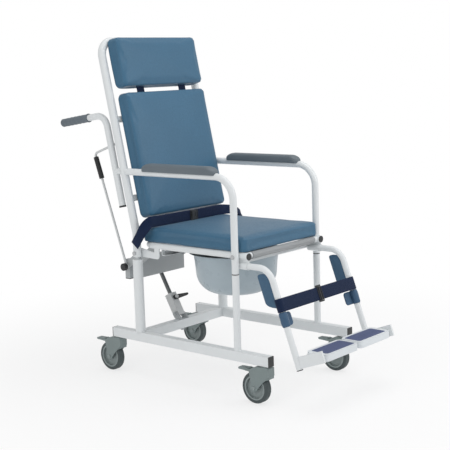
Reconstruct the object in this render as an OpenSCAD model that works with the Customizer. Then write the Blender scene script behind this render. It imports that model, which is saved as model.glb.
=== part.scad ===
// Transfer chair with a tilting seat, a commode pan and a leg rest.
// The chair faces -Y, +Z is up, and the floor is at Z = 0. "right" is the sitter's right, on the -X side.

/* [Base frame] */
// Overall width over the two side rails
track_w = 500; // [470:5:540]
// Length of a side rail
rail_l = 752; // [730:5:800]
// Width of a side rail
rail_w = 28; // [24:1:32]
// Height of a side rail
rail_h = 35; // [30:1:40]
// Wall of the square tubes
rail_wall = 2; // [1.5:0.5:3]
// Clearance from the floor to the rails
rail_z = 137; // [134:1:160]
// Depth of the cross tube
cross_w = 30; // [26:1:34]
// Height of the cross tube
cross_h = 35; // [30:1:35]
// Distance of the cross tube behind the rear posts
cross_back = 8; // [0:1:12]

/* [Posts] */
// Distance between the front and the rear posts
post_gap = 473; // [455:1:500]
// Distance of the rear posts behind the middle of the rails
rear_post_y = 240; // [230:1:250]
// Diameter of the front posts, armrest tubes and handle tubes
arm_d = 25; // [22:1:28]
// Diameter of the rear posts
rear_d = 37; // [35:1:40]
// Wall of the round tubes
wall = 1.5; // [1.2:0.1:2]
// Height of the joint in the front posts
seam_z = 440; // [425:1:450]
// Height of the head of the rear posts
rear_head_z = 446; // [440:1:450]
// Height of the tilt axis
tilt_z = 470; // [468:1:474]
// Gap between the front posts and their rubber stops
stop_gap = 0.3; // [0.2:0.1:0.5]
// Thickness of the rubber stop on a front post
stop_t = 3; // [2:0.5:5]

/* [Back frame] */
// Diameter of the back frame tube
back_d = 30; // [28:1:32]
// Lean of the back frame
back_lean = 12; // [10:1:13]
// Height where the back frame starts to lean
back_bend_z = 540; // [530:1:550]
// Height of the middle of the top tube
back_top_z = 1247; // [1230:1:1280]
// Radius of the bends at the top
back_top_r = 60; // [50:1:70]

/* [Side frames] */
// Height of the armrest tube
arm_z = 770; // [760:1:780]
// Radius of the front bend of the armrest tube
arm_bend_r = 78; // [65:1:85]
// Distance of the handle tube behind the back frame, middle to middle
handle_back = 44; // [42:1:48]
// Height of the lower end of the handle tube
handle_low_z = 642; // [625:1:650]
// Height of the handle's bend corner
handle_top_z = 978; // [960:1:990]
// Radius of the bend under the handle
handle_bend_r = 48; // [40:1:55]
// Reach of the handle behind its bend corner
handle_reach = 236; // [220:2:250]
// Slope of the handle down to its end
handle_slope = 8; // [5:1:10]
// Length of a grip
grip_l = 152; // [130:2:160]
// Diameter of a grip
grip_d = 31; // [30:1:34]
// Length of an armrest pad
pad_l = 350; // [330:2:372]
// Width of an armrest pad
pad_w = 44; // [38:1:50]
// Thickness of an armrest pad
pad_t = 30; // [26:1:34]

/* [Seat] */
// Height of the seat tubes above the tilt axis
seat_rise = 29; // [27:1:33]
// Reach of the seat tubes in front of the front posts
seat_reach = 39; // [30:1:50]
// Diameter of the seat tubes
seat_d = 24; // [22:1:26]
// Radius of the rear bends of the seat tube
seat_bend_r = 45; // [38:1:50]
// Gap between a seat tube and the upright beside it
seat_side_gap = 1.5; // [1:0.5:3.5]
// Thickness of the seat cushion at its edge
seat_t = 50; // [44:1:56]
// Crown of the seat cushion
seat_crown = 9; // [5:1:12]
// Gap between the seat cushion and the upright beside it
seat_cushion_gap = 5.5; // [5.5:0.5:20]
// Depth of the seat cushion
seat_l = 494; // [470:2:496]
// Distance of the seat cushion's front edge behind the ends of the seat tubes
seat_inset = 12; // [6:1:20]
// Radius of the cushions' corners
corner_r = 20; // [14:1:40]

/* [Back cushions] */
// Distance of the back cushions' sides inside of the back tubes
back_cushion_gap = 3; // [2:0.5:20]
// Height of the back cushion along the frame
back_l = 470; // [440:2:472]
// Thickness of the back cushion at its edge
back_t = 52; // [46:1:58]
// Height of the head cushion along the frame
head_l = 190; // [170:2:196]
// Gap between the back cushion and the head cushion
head_gap = 16; // [12:1:24]
// Crown of the back cushions
back_crown = 8; // [4:1:10]
// Height of the lower edge of the back cushion
back_low_z = 590; // [588:1:596]

/* [Casters] */
// Diameter of a wheel
wheel_d = 110; // [100:1:112]
// Width of a tyre
wheel_w = 26; // [22:1:28]
// Thickness of the tyre
tyre_t = 12; // [9:1:15]
// Distance of the wheel axle behind the swivel axis
trail = 44; // [38:1:48]
// Distance of the swivel axes from the rail ends
stem_inset = 19; // [17:1:24]
// Diameter of the swivel stem
stem_d = 12; // [10:1:14]
// Reach of the brake pedal behind the swivel axis
pedal_reach = 116; // [104:1:120]

/* [Strut] */
// Height of the strut's lower pivot above the cross tube
strut_low = 18; // [17:1:20]
// Distance of the lower pivot behind the cross tube's middle
strut_low_back = 18; // [16:1:20]
// Distance of the upper pivot behind the tilt axis
strut_top_back = 126; // [122:1:130]
// Distance of the upper pivot below the tilt axis
strut_top_drop = 104; // [100:1:108]
// Width of the square strut housing
housing_w = 32; // [28:1:34]
// Length of the housing from the lower pivot to its mouth
housing_l = 84; // [82:1:88]
// Diameter of the strut rod
rod_d = 16; // [14:1:18]
// Width of the plate that carries the strut
yoke_w = 236; // [220:2:240]
// Height of the plate that carries the strut
yoke_h = 84; // [78:1:88]

/* [Release lever] */
// Diameter of the release lever
lever_d = 9; // [7:1:10]
// Lean of the release lever
lever_lean = 19; // [18:1:20]
// Length of the release lever from its pivot to the top of its grip
lever_l = 432; // [420:2:440]
// Length of the lever's grip
lever_grip_l = 84; // [70:2:90]
// Diameter of the lever's grip
lever_grip_d = 19; // [16:1:22]
// Distance of the lever's pivot behind the tilt axis
lever_back = 78; // [76:1:82]
// Distance of the lever's pivot below the tilt axis
lever_drop = 62; // [58:1:66]

/* [Leg rest] */
// Diameter of a leg tube
leg_d = 22; // [20:1:24]
// Drop of the leg tubes below the seat tubes
leg_drop = 33; // [32:1:37]
// Reach of the leg tubes behind the front posts
leg_stub = 14; // [10:1:15]
// Distance from the front posts forward to the knee corner
knee_reach = 126; // [118:1:134]
// Radius of the knee bend
knee_r = 62; // [54:1:66]
// Lean of the lower leg tube
leg_lean = 20; // [18:1:22]
// Height of the lower end of the leg tube
leg_low_z = 137; // [134:1:150]
// Length of the flat bar that carries a footplate
foot_bar_l = 112; // [106:1:118]
// Height of that flat bar
foot_bar_h = 40; // [34:1:44]
// Thickness of that flat bar
foot_bar_t = 8; // [6:1:10]
// Depth of a footplate
plate_l = 86; // [78:1:92]
// Thickness of a footplate's rim
plate_t = 24; // [20:1:28]
// Gap between the two footplates
plate_gap = 8; // [4:1:12]
// Width of the calf strap
strap_w = 46; // [40:1:50]
// Thickness of a strap
strap_t = 3; // [2:0.5:4]
// Height of the middle of the calf strap
strap_z = 346; // [335:1:356]

/* [Commode pan] */
// Diameter of the pan's flange
pan_d = 350; // [330:2:356]
// Diameter of the pan's mouth
pan_mouth_d = 318; // [300:2:322]
// Diameter of the flat of the pan's bottom
pan_bottom_d = 140; // [130:2:150]
// Radius of the pan's rounded bottom edge
pan_round = 80; // [70:1:84]
// Depth of the pan
pan_depth = 155; // [140:1:158]
// Distance of the pan's rim below the seat tubes
pan_hang = 17; // [8:1:20]
// Wall of the pan
pan_wall = 3; // [2:0.5:4]
// Distance of the pan's middle in front of the rails' middle
pan_front = 38; // [30:1:46]

/* [Hidden] */
$fn = 48;

// Clearances between parts that move on one another, and the overrun of every cut
run_gap = 0.4;
pin_gap = 0.2;
fit_gap = 0.1;
soft_gap = 0.3;
over = 1;

// A run that follows a bend starts this far inside it and is a hair slimmer
lap = 0.5;
slim_share = 0.995;

// Counts of the facets: arcs of flat links, rings of a cushion, its round edge, its crown
arc_n = 14;
corner_n = 5;
side_n = 8;
ring_n = 4 * (corner_n + side_n);
turn_n = 6;
crown_n = 6;

// Small shared sizes
bolt_d = 8;
bolt_head_d = 15;
bolt_head_h = 4;
web_t = 5;
cap_t = 3;
cap_insert = 8;

// Places that several parts share
post_x = track_w / 2 - rail_w / 2;
front_post_y = rear_post_y - post_gap;
seat_z = tilt_z + seat_rise;
seat_half = post_x - arm_d / 2 - seat_d / 2 - seat_side_gap;
seat_w = 2 * (post_x - arm_d / 2 - seat_cushion_gap);
back_w = 2 * (post_x - back_d / 2 - back_cushion_gap);
leg_z = seat_z - leg_drop;
cross_y = rear_post_y + cross_back;
rail_top = rail_z + rail_h;
rail_mid_z = rail_z + rail_h / 2;
stem_y = rail_l / 2 - stem_inset;

// Details of the posts: head plate, tongue inside the back frame's tube, plug of the rubber stop
head_t = 6;
tongue_t = 7;
tongue_w = 14;
stop_plug = 14;
// Distance of the back frame's lower ends below the tilt axis
back_drop = 14;

// Casters: fork, hood, axle and pedal
bearing_h = 3.6;
bearing_d = 26;
stem_in = 22;
head_r = 20;
fork_foot_r = 13;
fork_t = 3;
wheel_gap = 2;
hood_gap = 3;
hood_t = 6;
hood_angle = 60;
hood_low = 46;
hub_d = wheel_d - 2 * tyre_t;
hub_rim_t = 5;
hub_web_t = 6;
hub_boss_d = 26;
tread_r = 5;
axle_head_h = 3;
pedal_r = 5;
pedal_tip_r = 4;
pedal_pin_d = 4;
pedal_w = 22;
fork_w = wheel_w + 2 * wheel_gap + 2 * fork_t;
crown_z = rail_z - run_gap - bearing_h;
wheel_r = wheel_d / 2;
hood_r = wheel_r + hood_gap + hood_t;
pedal_out = hood_r + pedal_r + run_gap;
pedal_at = [trail + pedal_out * cos(hood_angle), wheel_r + pedal_out * sin(hood_angle)];

// Back frame: where its leaning tubes stand at a height, its lower bend and the length above it
function back_y(z) = rear_post_y + (z - back_bend_z) * tan(back_lean);
back_bend_r = 2 * back_d;
back_top = (back_top_z - back_bend_z) / cos(back_lean);

// The handle tube runs parallel to the back frame, behind it
function handle_y(z) = back_y(z) + handle_back / cos(back_lean);
handle_turn = 90 + handle_slope - back_lean;
handle_cut = handle_bend_r * tan(handle_turn / 2);
handle_rise = (handle_top_z - handle_low_z) / cos(back_lean);
handle_end = handle_y(handle_top_z) + handle_reach * cos(handle_slope);
grip_wall_end = 5;
grip_ring_h = 6;
grip_face_r = grip_d / 2 - grip_wall_end;
rear_reach = handle_end + grip_wall_end * cos(handle_slope) + grip_face_r * sin(handle_slope);

// Seat frame details
seat_rear_y = rear_post_y - back_d / 2;
seat_front_y = front_post_y - seat_reach;
front_rail_back = 16;
hinge_r = 16;
hinge_bar_reach = 85;
hinge_bar_drop = 8;
hinge_bar_r = 11;
lug_l = 24;
sleeve_wall = 2;
sleeve_gap = 0.4;
sleeve_back = 15;
hinge_bar_x = post_x - back_d / 2 - web_t;
sleeve_y = front_post_y + sleeve_back;

// Cushions
round_r = 11;
edge_in = 3;
draw_in = 5;
cushion_z = seat_z + seat_d / 2 + soft_gap;
seat_top = cushion_z + seat_t;
back_low = (back_low_z - back_bend_z) / cos(back_lean);
head_low = back_low + back_l + head_gap;
bar_share = [0.175, 0.804];
head_strap_w = 38;
head_strap_share = 0.52;

// Armrest pads
pad_mid_y = 14;
pad_round = 13;
pad_end_r = 20;
pad_wrap = 8;

// Strut, in the plane X = 0
strut_low_y = cross_y + strut_low_back;
strut_low_z = rail_top + strut_low;
strut_top_y = rear_post_y + strut_top_back;
strut_top_z = tilt_z - strut_top_drop;
strut_run = [strut_top_y - strut_low_y, strut_top_z - strut_low_z];
strut_len = norm(strut_run);
strut_lean = atan2(strut_run[0], strut_run[1]);
housing_foot = 9;
housing_floor = 8;
ear_r = 10;
rod_in = 22;
eye_d = 26;
eye_gap = 3;
lever_arm = 64;
lever_hub_d = 18;
lever_t = 9;
lever_down = 22;
stub_h = 10;
yoke_back = 26;
yoke_y = strut_top_y - yoke_back;
yoke_low = 20;
saddle_rise = 5;
yoke_arm_r = 15;
ear_gap = 1;

// Release lever beside the back frame
lever_at = [rear_post_y + lever_back, tilt_z - lever_drop];
lever_gap = 0.5;
lever_x = post_x - arm_d / 2 - lever_gap - lever_d / 2;
lever_hub_r = 9;
lever_bend_r = 14;
lever_reach = 118;
bracket_in = 22;
bracket_w = 24;
bracket_h = 72;
bracket_back = 7;
bracket_up = 25;
bracket_top_r = 14;
knob_d = 28;
knob_h = 16;

// Commode pan and its guides
pan_y = -pan_front;
pan_flange_t = 3;
pan_top = seat_z - seat_d / 2 - pan_hang;
guide_t = 2.5;
guide_lip = 16;
guide_seat = 3;
pan_draft = 8;

// Leg rest
leg_x = seat_half;
knee_y = front_post_y - knee_reach;
knee_cut = knee_r * tan((90 - leg_lean) / 2);
function leg_y(z) = knee_y - (leg_z - z) * tan(leg_lean);
leg_low_y = leg_y(leg_low_z);
leg_run = (leg_z - leg_low_z) / cos(leg_lean);
foot_bar_lift = 3;
foot_bar_up = foot_bar_h / 2 + foot_bar_lift;
foot_bar_y = leg_low_y + foot_bar_up * sin(leg_lean);
foot_bar_z = leg_low_z + foot_bar_up * cos(leg_lean);
knuckle_r = 7;
knuckle_l = 24;
plate_pin_d = 6;
plate_clear = 1;
plate_corner_r = 18;
mat_in = 9;
mat_t = 4;
mat_sink = 3;
mat_clear = 0.5;
hinge_x = leg_x - foot_bar_t / 2 - knuckle_r - plate_clear - mat_t + mat_sink - mat_clear;
hinge_along = foot_bar_l - plate_l / 2;
plate_y = foot_bar_y - hinge_along * cos(leg_lean);
hinge_z = foot_bar_z + hinge_along * sin(leg_lean) + plate_t - 2 * knuckle_r;
plate_w = hinge_x - plate_gap / 2;
calf_sleeve_low = 276;
calf_sleeve_l = 42;
calf_sleeve_t = 3;
calf_pad_low = 334;
calf_pad_high = 446;
calf_pad_w = 62;
calf_pad_t = 12;
calf_pad_r = 14;
buckle_w = 22;
buckle_h = 60;
buckle_t = 6;
calf_edge_share = 0.3;

// Lap belt
belt_w = 40;
belt_out = 2;
belt_front = 62;
belt_rest = 4.4;
buckle_share = 0.04;

// The chair stands over its own origin, so the middle of its length is moved there
front_reach = foot_bar_y - foot_bar_l * cos(leg_lean) - foot_bar_h / 2 * sin(leg_lean);
mid_y = (rear_reach + front_reach) / 2;

module place() translate([0, -mid_y, 0]) children();

// Steps of a tube that turns in its Y-Z plane: [length] runs straight, [radius, angle] bends.
// A positive angle turns toward +Y.
module sweep_steps(d, steps, i = 0) {
    if (i < len(steps)) {
        s = steps[i];
        if (len(s) == 1) {
            if (i == 0) cylinder(d = d, h = s[0]);
            else translate([0, 0, -lap]) cylinder(d = d * slim_share, h = s[0] + lap);
            translate([0, 0, s[0]]) sweep_steps(d, steps, i + 1);
        } else {
            way = s[1] > 0 ? 1 : -1;
            rotate([0, 0, way > 0 ? 0 : 180]) bend(d, s[0], abs(s[1]));
            translate([0, way * s[0] * (1 - cos(s[1])), s[0] * sin(abs(s[1]))])
                rotate([-s[1], 0, 0]) sweep_steps(d, steps, i + 1);
        }
    }
}

// One bend that starts along +Z at the origin and turns toward +Y
module bend(d, r, angle) {
    translate([0, r, 0]) rotate([0, -90, 0]) rotate([0, 0, -90])
        rotate_extrude(angle = angle) translate([r, 0]) circle(d = d);
}

// The bore of such a tube, run out past both ends
function run_out(steps) = [for (i = [0:len(steps) - 1])
    i == 0 || i == len(steps) - 1 ? [steps[i][0] + over] : steps[i]];
module bore_steps(d, steps) translate([0, 0, -over]) sweep_steps(d, run_out(steps));

// An outline of two rounds joined by their outer tangents
module link2d(a, ra, b, rb) {
    base = atan2(b[1] - a[1], b[0] - a[0]);
    side = acos((ra - rb) / norm(b - a));
    polygon(concat(
        [for (i = [0:arc_n]) let (q = base - side + 2 * side * i / arc_n) b + rb * [cos(q), sin(q)]],
        [for (i = [0:arc_n]) let (q = base + side + (360 - 2 * side) * i / arc_n)
            a + ra * [cos(q), sin(q)]]));
}

// Stands an outline drawn in Y and Z upright, t thick in X about X = 0
module upright(t) rotate([90, 0, 90]) translate([0, 0, -t / 2]) linear_extrude(t) children();

// A round bar along X about X = 0
module across(d, l) rotate([0, 90, 0]) cylinder(d = d, h = l, center = true);

// A square tube, open along one axis
module box_tube(size, t, along) difference() {
    cube(size, center = true);
    cube([for (i = [0:2]) i == along ? size[i] + over * 2 : size[i] - t * 2], center = true);
}

// A rectangle with rounded corners about the origin
module round_rect(w, l, r) {
    square([w - 2 * r, l], center = true);
    square([w, l - 2 * r], center = true);
    for (x = [-1, 1], y = [-1, 1]) translate([x * (w / 2 - r), y * (l / 2 - r)]) circle(r = r);
}

// Base frame
module rail(side) color("#e9ebea") place() translate([side * post_x, 0, rail_mid_z]) difference() {
    box_tube([rail_w, rail_l, rail_h], rail_wall, 1);
    for (end = [-1, 1]) translate([0, end * stem_y, -rail_h / 2])
        cylinder(d = stem_d + pin_gap, h = rail_wall * 3, center = true);
}

module rail_caps() color("#26282a") place()
    for (side = [-1, 1], end = [-1, 1]) translate([side * post_x, end * rail_l / 2, rail_mid_z]) {
        translate([0, end * cap_t / 2, 0]) cube([rail_w, cap_t, rail_h], center = true);
        translate([0, -end * cap_insert / 2, 0])
            cube([rail_w - 2 * rail_wall, cap_insert, rail_h - 2 * rail_wall], center = true);
    }

module cross_tube() color("#e9ebea") place() translate([0, cross_y, rail_mid_z])
    box_tube([2 * post_x - rail_w, cross_w, cross_h], rail_wall, 0);

module rear_post(side) color("#eceeed") place() translate([side * post_x, rear_post_y, 0]) difference() {
    union() {
        translate([0, 0, rail_top]) cylinder(d = rear_d, h = rear_head_z - rail_top);
        upright(tongue_t) translate([0, tilt_z]) {
            circle(d = tongue_w);
            translate([-tongue_w / 2, rear_head_z - tilt_z]) square([tongue_w, tilt_z - rear_head_z]);
        }
    }
    translate([0, 0, rail_top - over])
        cylinder(d = rear_d - 2 * wall, h = rear_head_z - head_t - rail_top + over);
    translate([0, 0, tilt_z]) across(bolt_d + pin_gap, rear_d);
}

module front_post(side) color("#eceeed") place() translate([side * post_x, front_post_y, rail_top])
    difference() {
        cylinder(d = arm_d, h = seam_z - stop_t - rail_top);
        translate([0, 0, -over]) cylinder(d = arm_d - 2 * wall, h = seam_z - rail_top + 2 * over);
    }

module post_stops() color("#232526") place() for (side = [-1, 1])
    translate([side * post_x, front_post_y, seam_z - stop_t]) {
        cylinder(d = arm_d, h = stop_t);
        translate([0, 0, -stop_plug]) cylinder(d = arm_d - 2 * wall, h = stop_plug);
    }

module strut_bracket() color("#8e9598") place() {
    for (side = [-1, 1]) translate([side * (housing_w / 2 + run_gap + web_t / 2), 0, 0]) intersection() {
        upright(web_t) link2d([strut_low_y, strut_low_z], ear_r, [cross_y, rail_top], cross_w / 2);
        translate([-web_t, cross_y - cross_w, rail_top]) cube([2 * web_t, 3 * cross_w, 3 * strut_low]);
    }
    translate([0, strut_low_y, strut_low_z]) across(bolt_d, housing_w + 2 * (run_gap + web_t + bolt_head_h));
    for (side = [-1, 1]) translate([side * (housing_w / 2 + run_gap + web_t + bolt_head_h / 2), strut_low_y,
        strut_low_z]) across(bolt_head_d, bolt_head_h);
    translate([0, cross_y, rail_mid_z - cross_h / 2 - stub_h]) cylinder(d = bolt_head_d, h = stub_h);
}

// Casters
module at_caster(side, end) place() translate([side * post_x, end * stem_y, 0]) children();

module fork(side, end) color("#7f8c8c") at_caster(side, end) {
    difference() {
        upright(fork_w) {
            link2d([0, crown_z - head_r], head_r, [trail, wheel_r], fork_foot_r);
            link2d([trail, wheel_r + hood_low], fork_foot_r, [trail, wheel_r], fork_foot_r);
            intersection() {
                translate([trail, wheel_r]) circle(r = hood_r);
                translate([trail - hood_r, wheel_r + hood_low]) square([2 * hood_r, hood_r]);
            }
            translate([-head_r, crown_z - head_r]) square([2 * head_r, head_r]);
        }
        translate([0, trail, wheel_r]) across(wheel_d + 2 * hood_gap, wheel_w + 2 * wheel_gap);
    }
    translate([0, 0, crown_z]) cylinder(d = bearing_d, h = bearing_h);
    translate([0, 0, crown_z]) cylinder(d = stem_d, h = rail_z + stem_in - crown_z);
    translate([0, trail, wheel_r]) {
        across(bolt_d, fork_w);
        for (head = [-1, 1]) translate([head * (fork_w + axle_head_h) / 2, 0, 0])
            across(bolt_head_d, axle_head_h);
    }
    for (ear = [-1, 1]) translate([ear * (pedal_w / 2 + run_gap + fork_t / 2), 0, 0]) upright(fork_t)
        link2d(pedal_at, pedal_r,
            [trail, wheel_r] + (hood_r - hood_t / 2) * [cos(hood_angle), sin(hood_angle)], hood_t / 2);
    translate([0, pedal_at[0], pedal_at[1]]) across(pedal_pin_d, pedal_w + 2 * (run_gap + fork_t));
}

module hub(side, end) color("#8b9696") at_caster(side, end) translate([0, trail, wheel_r])
    rotate([0, 90, 0]) difference() {
        union() {
            difference() {
                cylinder(d = hub_d, h = wheel_w, center = true);
                cylinder(d = hub_d - 2 * hub_rim_t, h = wheel_w + over, center = true);
            }
            cylinder(d = hub_d - hub_rim_t, h = hub_web_t, center = true);
            cylinder(d = hub_boss_d, h = wheel_w, center = true);
        }
        cylinder(d = bolt_d + pin_gap, h = wheel_w + over, center = true);
    }

module tyre(side, end) color("#454f50") at_caster(side, end) translate([0, trail, wheel_r])
    rotate([0, 90, 0]) rotate_extrude() {
        translate([hub_d / 2, -wheel_w / 2]) square([tyre_t - tread_r, wheel_w]);
        translate([hub_d / 2, tread_r - wheel_w / 2]) square([tyre_t, wheel_w - 2 * tread_r]);
        for (edge = [-1, 1]) translate([wheel_r - tread_r, edge * (wheel_w / 2 - tread_r)])
            circle(r = tread_r);
    }

module pedal(side, end) color("#6f7b7b") at_caster(side, end) difference() {
    upright(pedal_w) link2d(pedal_at, pedal_r, [pedal_reach - pedal_tip_r, pedal_at[1]], pedal_tip_r);
    translate([0, pedal_at[0], pedal_at[1]]) across(pedal_pin_d + pin_gap, pedal_w + over);
}

// Locking strut between the cross tube and the seat
module at_strut() place() translate([0, strut_low_y, strut_low_z]) rotate([-strut_lean, 0, 0]) children();

module strut_housing() color("#a7acac") at_strut() difference() {
    union() {
        translate([-housing_w / 2, -housing_w / 2, -housing_foot])
            cube([housing_w, housing_w, housing_l + housing_foot]);
        translate([0, -housing_w / 2 + wall, housing_l - lever_down]) rotate([90, 0, 0])
            cylinder(d = bolt_d, h = wall + 2 * run_gap + lever_t);
        translate([0, -housing_w / 2 - 2 * run_gap - lever_t, housing_l - lever_down]) rotate([90, 0, 0])
            cylinder(d = bolt_head_d, h = bolt_head_h);
    }
    translate([0, 0, housing_floor]) cylinder(d = rod_d + 2 * run_gap, h = housing_l);
    across(bolt_d + pin_gap, housing_w + over);
}

module strut_rod() color("#4b4f52") at_strut() difference() {
    union() {
        translate([0, 0, housing_l - rod_in]) cylinder(d = rod_d, h = strut_len - housing_l + rod_in);
        translate([0, 0, strut_len]) across(eye_d, rod_d);
    }
    translate([0, 0, strut_len]) across(bolt_d + 2 * eye_gap, rod_d + over);
}

module strut_lever() color("#26282a") at_strut()
    translate([0, -housing_w / 2 - run_gap, housing_l - lever_down]) rotate([90, 0, 0]) difference() {
        linear_extrude(lever_t) link2d([0, 0], lever_hub_d / 2, [lever_arm, 0], lever_t / 2);
        translate([0, 0, -over]) cylinder(d = bolt_d + pin_gap, h = lever_t + 2 * over);
    }

module strut_yoke() color("#90979a") place() {
    yoke_z = strut_top_z - yoke_low;
    difference() {
        union() {
            translate([-yoke_w / 2, yoke_y - web_t / 2, yoke_z]) cube([yoke_w, web_t, yoke_h]);
            for (side = [-1, 1]) {
                translate([side * (yoke_w - web_t) / 2, 0, 0]) upright(web_t) link2d([seat_rear_y, seat_z],
                    seat_d / 2 + web_t, [yoke_y, yoke_z + yoke_h - yoke_arm_r], yoke_arm_r);
                translate([side * (rod_d / 2 + ear_gap + web_t / 2), 0, 0]) upright(web_t) {
                    translate([strut_top_y, strut_top_z]) circle(d = eye_d);
                    translate([yoke_y, strut_top_z - eye_d / 2]) square([strut_top_y - yoke_y, eye_d]);
                }
            }
            translate([0, strut_top_y, strut_top_z]) across(bolt_d, rod_d + 2 * ear_gap + 2 * web_t);
        }
        translate([0, seat_rear_y, seat_z]) across(seat_d, yoke_w + over);
        translate([-yoke_w / 2 - over, seat_rear_y - seat_d, seat_z + saddle_rise])
            cube([yoke_w + 2 * over, 2 * seat_d, seat_d]);
    }
}

// Tilting frame
module back_plane() place() translate([0, rear_post_y, back_bend_z]) rotate([-back_lean, 0, 0]) children();

// The U of the back frame as a bar of diameter d; its bore runs out past the lower ends by lead
module back_u(d, lead) {
    bend_cut = back_bend_r * tan(back_lean / 2);
    for (side = [-1, 1]) place() translate([side * post_x, rear_post_y, tilt_z - back_drop - lead])
        sweep_steps(d, [[back_bend_z - bend_cut - tilt_z + back_drop + lead], [back_bend_r, back_lean],
            [back_top - bend_cut - back_top_r + lap]]);
    back_plane() {
        for (side = [0, 1]) mirror([side, 0, 0]) translate([post_x - back_top_r, 0, back_top - back_top_r])
            rotate([90, 0, 0]) rotate_extrude(angle = 90) translate([back_top_r, 0]) circle(d = d);
        translate([0, 0, back_top]) across(d * slim_share, 2 * (post_x - back_top_r + lap));
    }
}

module back_frame() color("#eceeed") difference() {
    union() {
        back_u(back_d, 0);
        back_plane() for (share = bar_share) translate([0, 0, back_low + share * back_l])
            across(back_d - 4 * wall, 2 * post_x);
    }
    back_u(back_d - 2 * wall, over);
    back_plane() for (share = bar_share) translate([0, 0, back_low + share * back_l])
        across(back_d - 6 * wall, 2 * post_x);
    place() translate([0, rear_post_y, tilt_z]) across(bolt_d, track_w + back_d);
}

// The U of the seat frame as a bar of diameter d, its bore run out past the front ends by lead
module seat_u(d, lead) place() translate([0, 0, seat_z]) {
    for (side = [0, 1]) mirror([side, 0, 0]) {
        translate([seat_half, seat_front_y - lead, 0]) rotate([-90, 0, 0])
            cylinder(d = d, h = seat_rear_y - seat_bend_r - seat_front_y + lead);
        translate([seat_half - seat_bend_r, seat_rear_y - seat_bend_r, 0])
            rotate_extrude(angle = 90) translate([seat_bend_r, 0]) circle(d = d);
    }
    translate([0, seat_rear_y, 0]) across(d, 2 * (seat_half - seat_bend_r));
    translate([0, seat_front_y + front_rail_back, 0]) across(d == seat_d ? seat_d - wall : seat_d - 3 * wall,
        2 * seat_half);
}

module seat_frame() color("#e6e9e8") difference() {
    union() {
        seat_u(seat_d, 0);
        place() for (side = [-1, 1]) {
            translate([side * (hinge_bar_x + web_t / 2), 0, 0]) upright(web_t) {
                link2d([rear_post_y, tilt_z], hinge_r,
                    [rear_post_y - hinge_bar_reach, tilt_z - hinge_bar_drop], hinge_bar_r);
                translate([rear_post_y - hinge_bar_reach - lug_l / 2, tilt_z - hinge_bar_drop])
                    square([lug_l, seat_z - tilt_z + hinge_bar_drop]);
            }
            translate([side * seat_half, seat_front_y, leg_z]) rotate([-90, 0, 0])
                cylinder(d = leg_d + 2 * sleeve_gap + 2 * sleeve_wall, h = sleeve_y - seat_front_y);
            translate([side * seat_half - web_t / 2, seat_front_y, leg_z])
                cube([web_t, sleeve_y - seat_front_y, seat_z - leg_z]);
        }
    }
    seat_u(seat_d - 2 * wall, over);
    place() for (side = [-1, 1]) {
        translate([side * seat_half, seat_front_y - over, leg_z]) rotate([-90, 0, 0])
            cylinder(d = leg_d + 2 * sleeve_gap, h = sleeve_y - seat_front_y + 2 * over);
        translate([side * hinge_bar_x, rear_post_y, tilt_z]) across(bolt_d, 3 * web_t);
        translate([side * post_x, front_post_y, seat_z]) across(bolt_d, 2 * (post_x - seat_half));
    }
}

// Side frame: front upright, armrest tube and handle tube
module side_tubes(d, lead) {
    translate([0, front_post_y, seam_z + stop_gap - lead]) sweep_steps(d,
        [[arm_z - arm_bend_r - seam_z - stop_gap + lead], [arm_bend_r, 90],
            [handle_y(arm_z) - front_post_y - arm_bend_r]]);
    translate([0, handle_y(handle_low_z), handle_low_z]) rotate([-back_lean, 0, 0])
        translate([0, 0, -lead]) sweep_steps(d, [[handle_rise - handle_cut + lead],
            [handle_bend_r, handle_turn], [handle_reach - handle_cut + lead]]);
}

module side_frame(side) color("#eceeed") difference() {
    place() translate([side * post_x, 0, 0]) difference() {
        side_tubes(arm_d, 0);
        side_tubes(arm_d - 2 * wall, over);
        translate([0, front_post_y, seat_z]) across(bolt_d, 2 * arm_d);
    }
    back_u(back_d, 0);
}

// Frame at the end of the handle, its local Z running out along the handle
module at_handle(side) place() translate([side * post_x, handle_y(handle_top_z), handle_top_z])
    rotate([-90 - handle_slope, 0, 0]) translate([0, 0, handle_reach]) children();

module tube_plugs() color("#26282a") {
    place() for (side = [-1, 1]) {
        translate([side * seat_half, seat_front_y, seat_z]) rotate([90, 0, 0]) {
            cylinder(d = seat_d, h = cap_t);
            translate([0, 0, -cap_insert]) cylinder(d = seat_d - 2 * wall, h = cap_insert);
        }
        translate([side * post_x, handle_y(handle_low_z), handle_low_z]) rotate([180 - back_lean, 0, 0]) {
            cylinder(d = arm_d + wall, h = 2 * cap_t);
            translate([0, 0, -cap_insert]) cylinder(d = arm_d - 2 * wall, h = cap_insert);
        }
    }
}

module handle_grips() color("#66717a") for (side = [-1, 1]) at_handle(side) rotate_extrude() polygon([
    [arm_d / 2 + fit_gap, grip_wall_end - grip_l], [grip_d / 2 + cap_t, grip_wall_end - grip_l],
    [grip_d / 2 + cap_t, grip_ring_h + grip_wall_end - grip_l],
    [grip_d / 2, 2 * grip_ring_h + grip_wall_end - grip_l], [grip_d / 2, 0],
    [grip_face_r, grip_wall_end], [0, grip_wall_end], [0, fit_gap],
    [arm_d / 2 + fit_gap, fit_gap]]);

module armrest_pads() color("#6a7478") difference() {
    place() for (side = [-1, 1]) translate([side * post_x, 0, 0]) intersection() {
        translate([0, pad_mid_y, arm_z]) linear_extrude(arm_d / 2 + pad_t)
            round_rect(pad_w, pad_l, pad_end_r);
        translate([0, pad_mid_y + pad_l, arm_z + arm_d / 2 - pad_wrap]) rotate([90, 0, 0])
            linear_extrude(2 * pad_l) {
                translate([0, pad_t / 2]) round_rect(pad_w, pad_t, pad_round);
                translate([-pad_w / 2, 0]) square([pad_w, pad_t / 2]);
            }
    }
    place() for (side = [-1, 1]) translate([side * post_x, 0, 0]) side_tubes(arm_d + 2 * fit_gap, 0);
}

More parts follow.
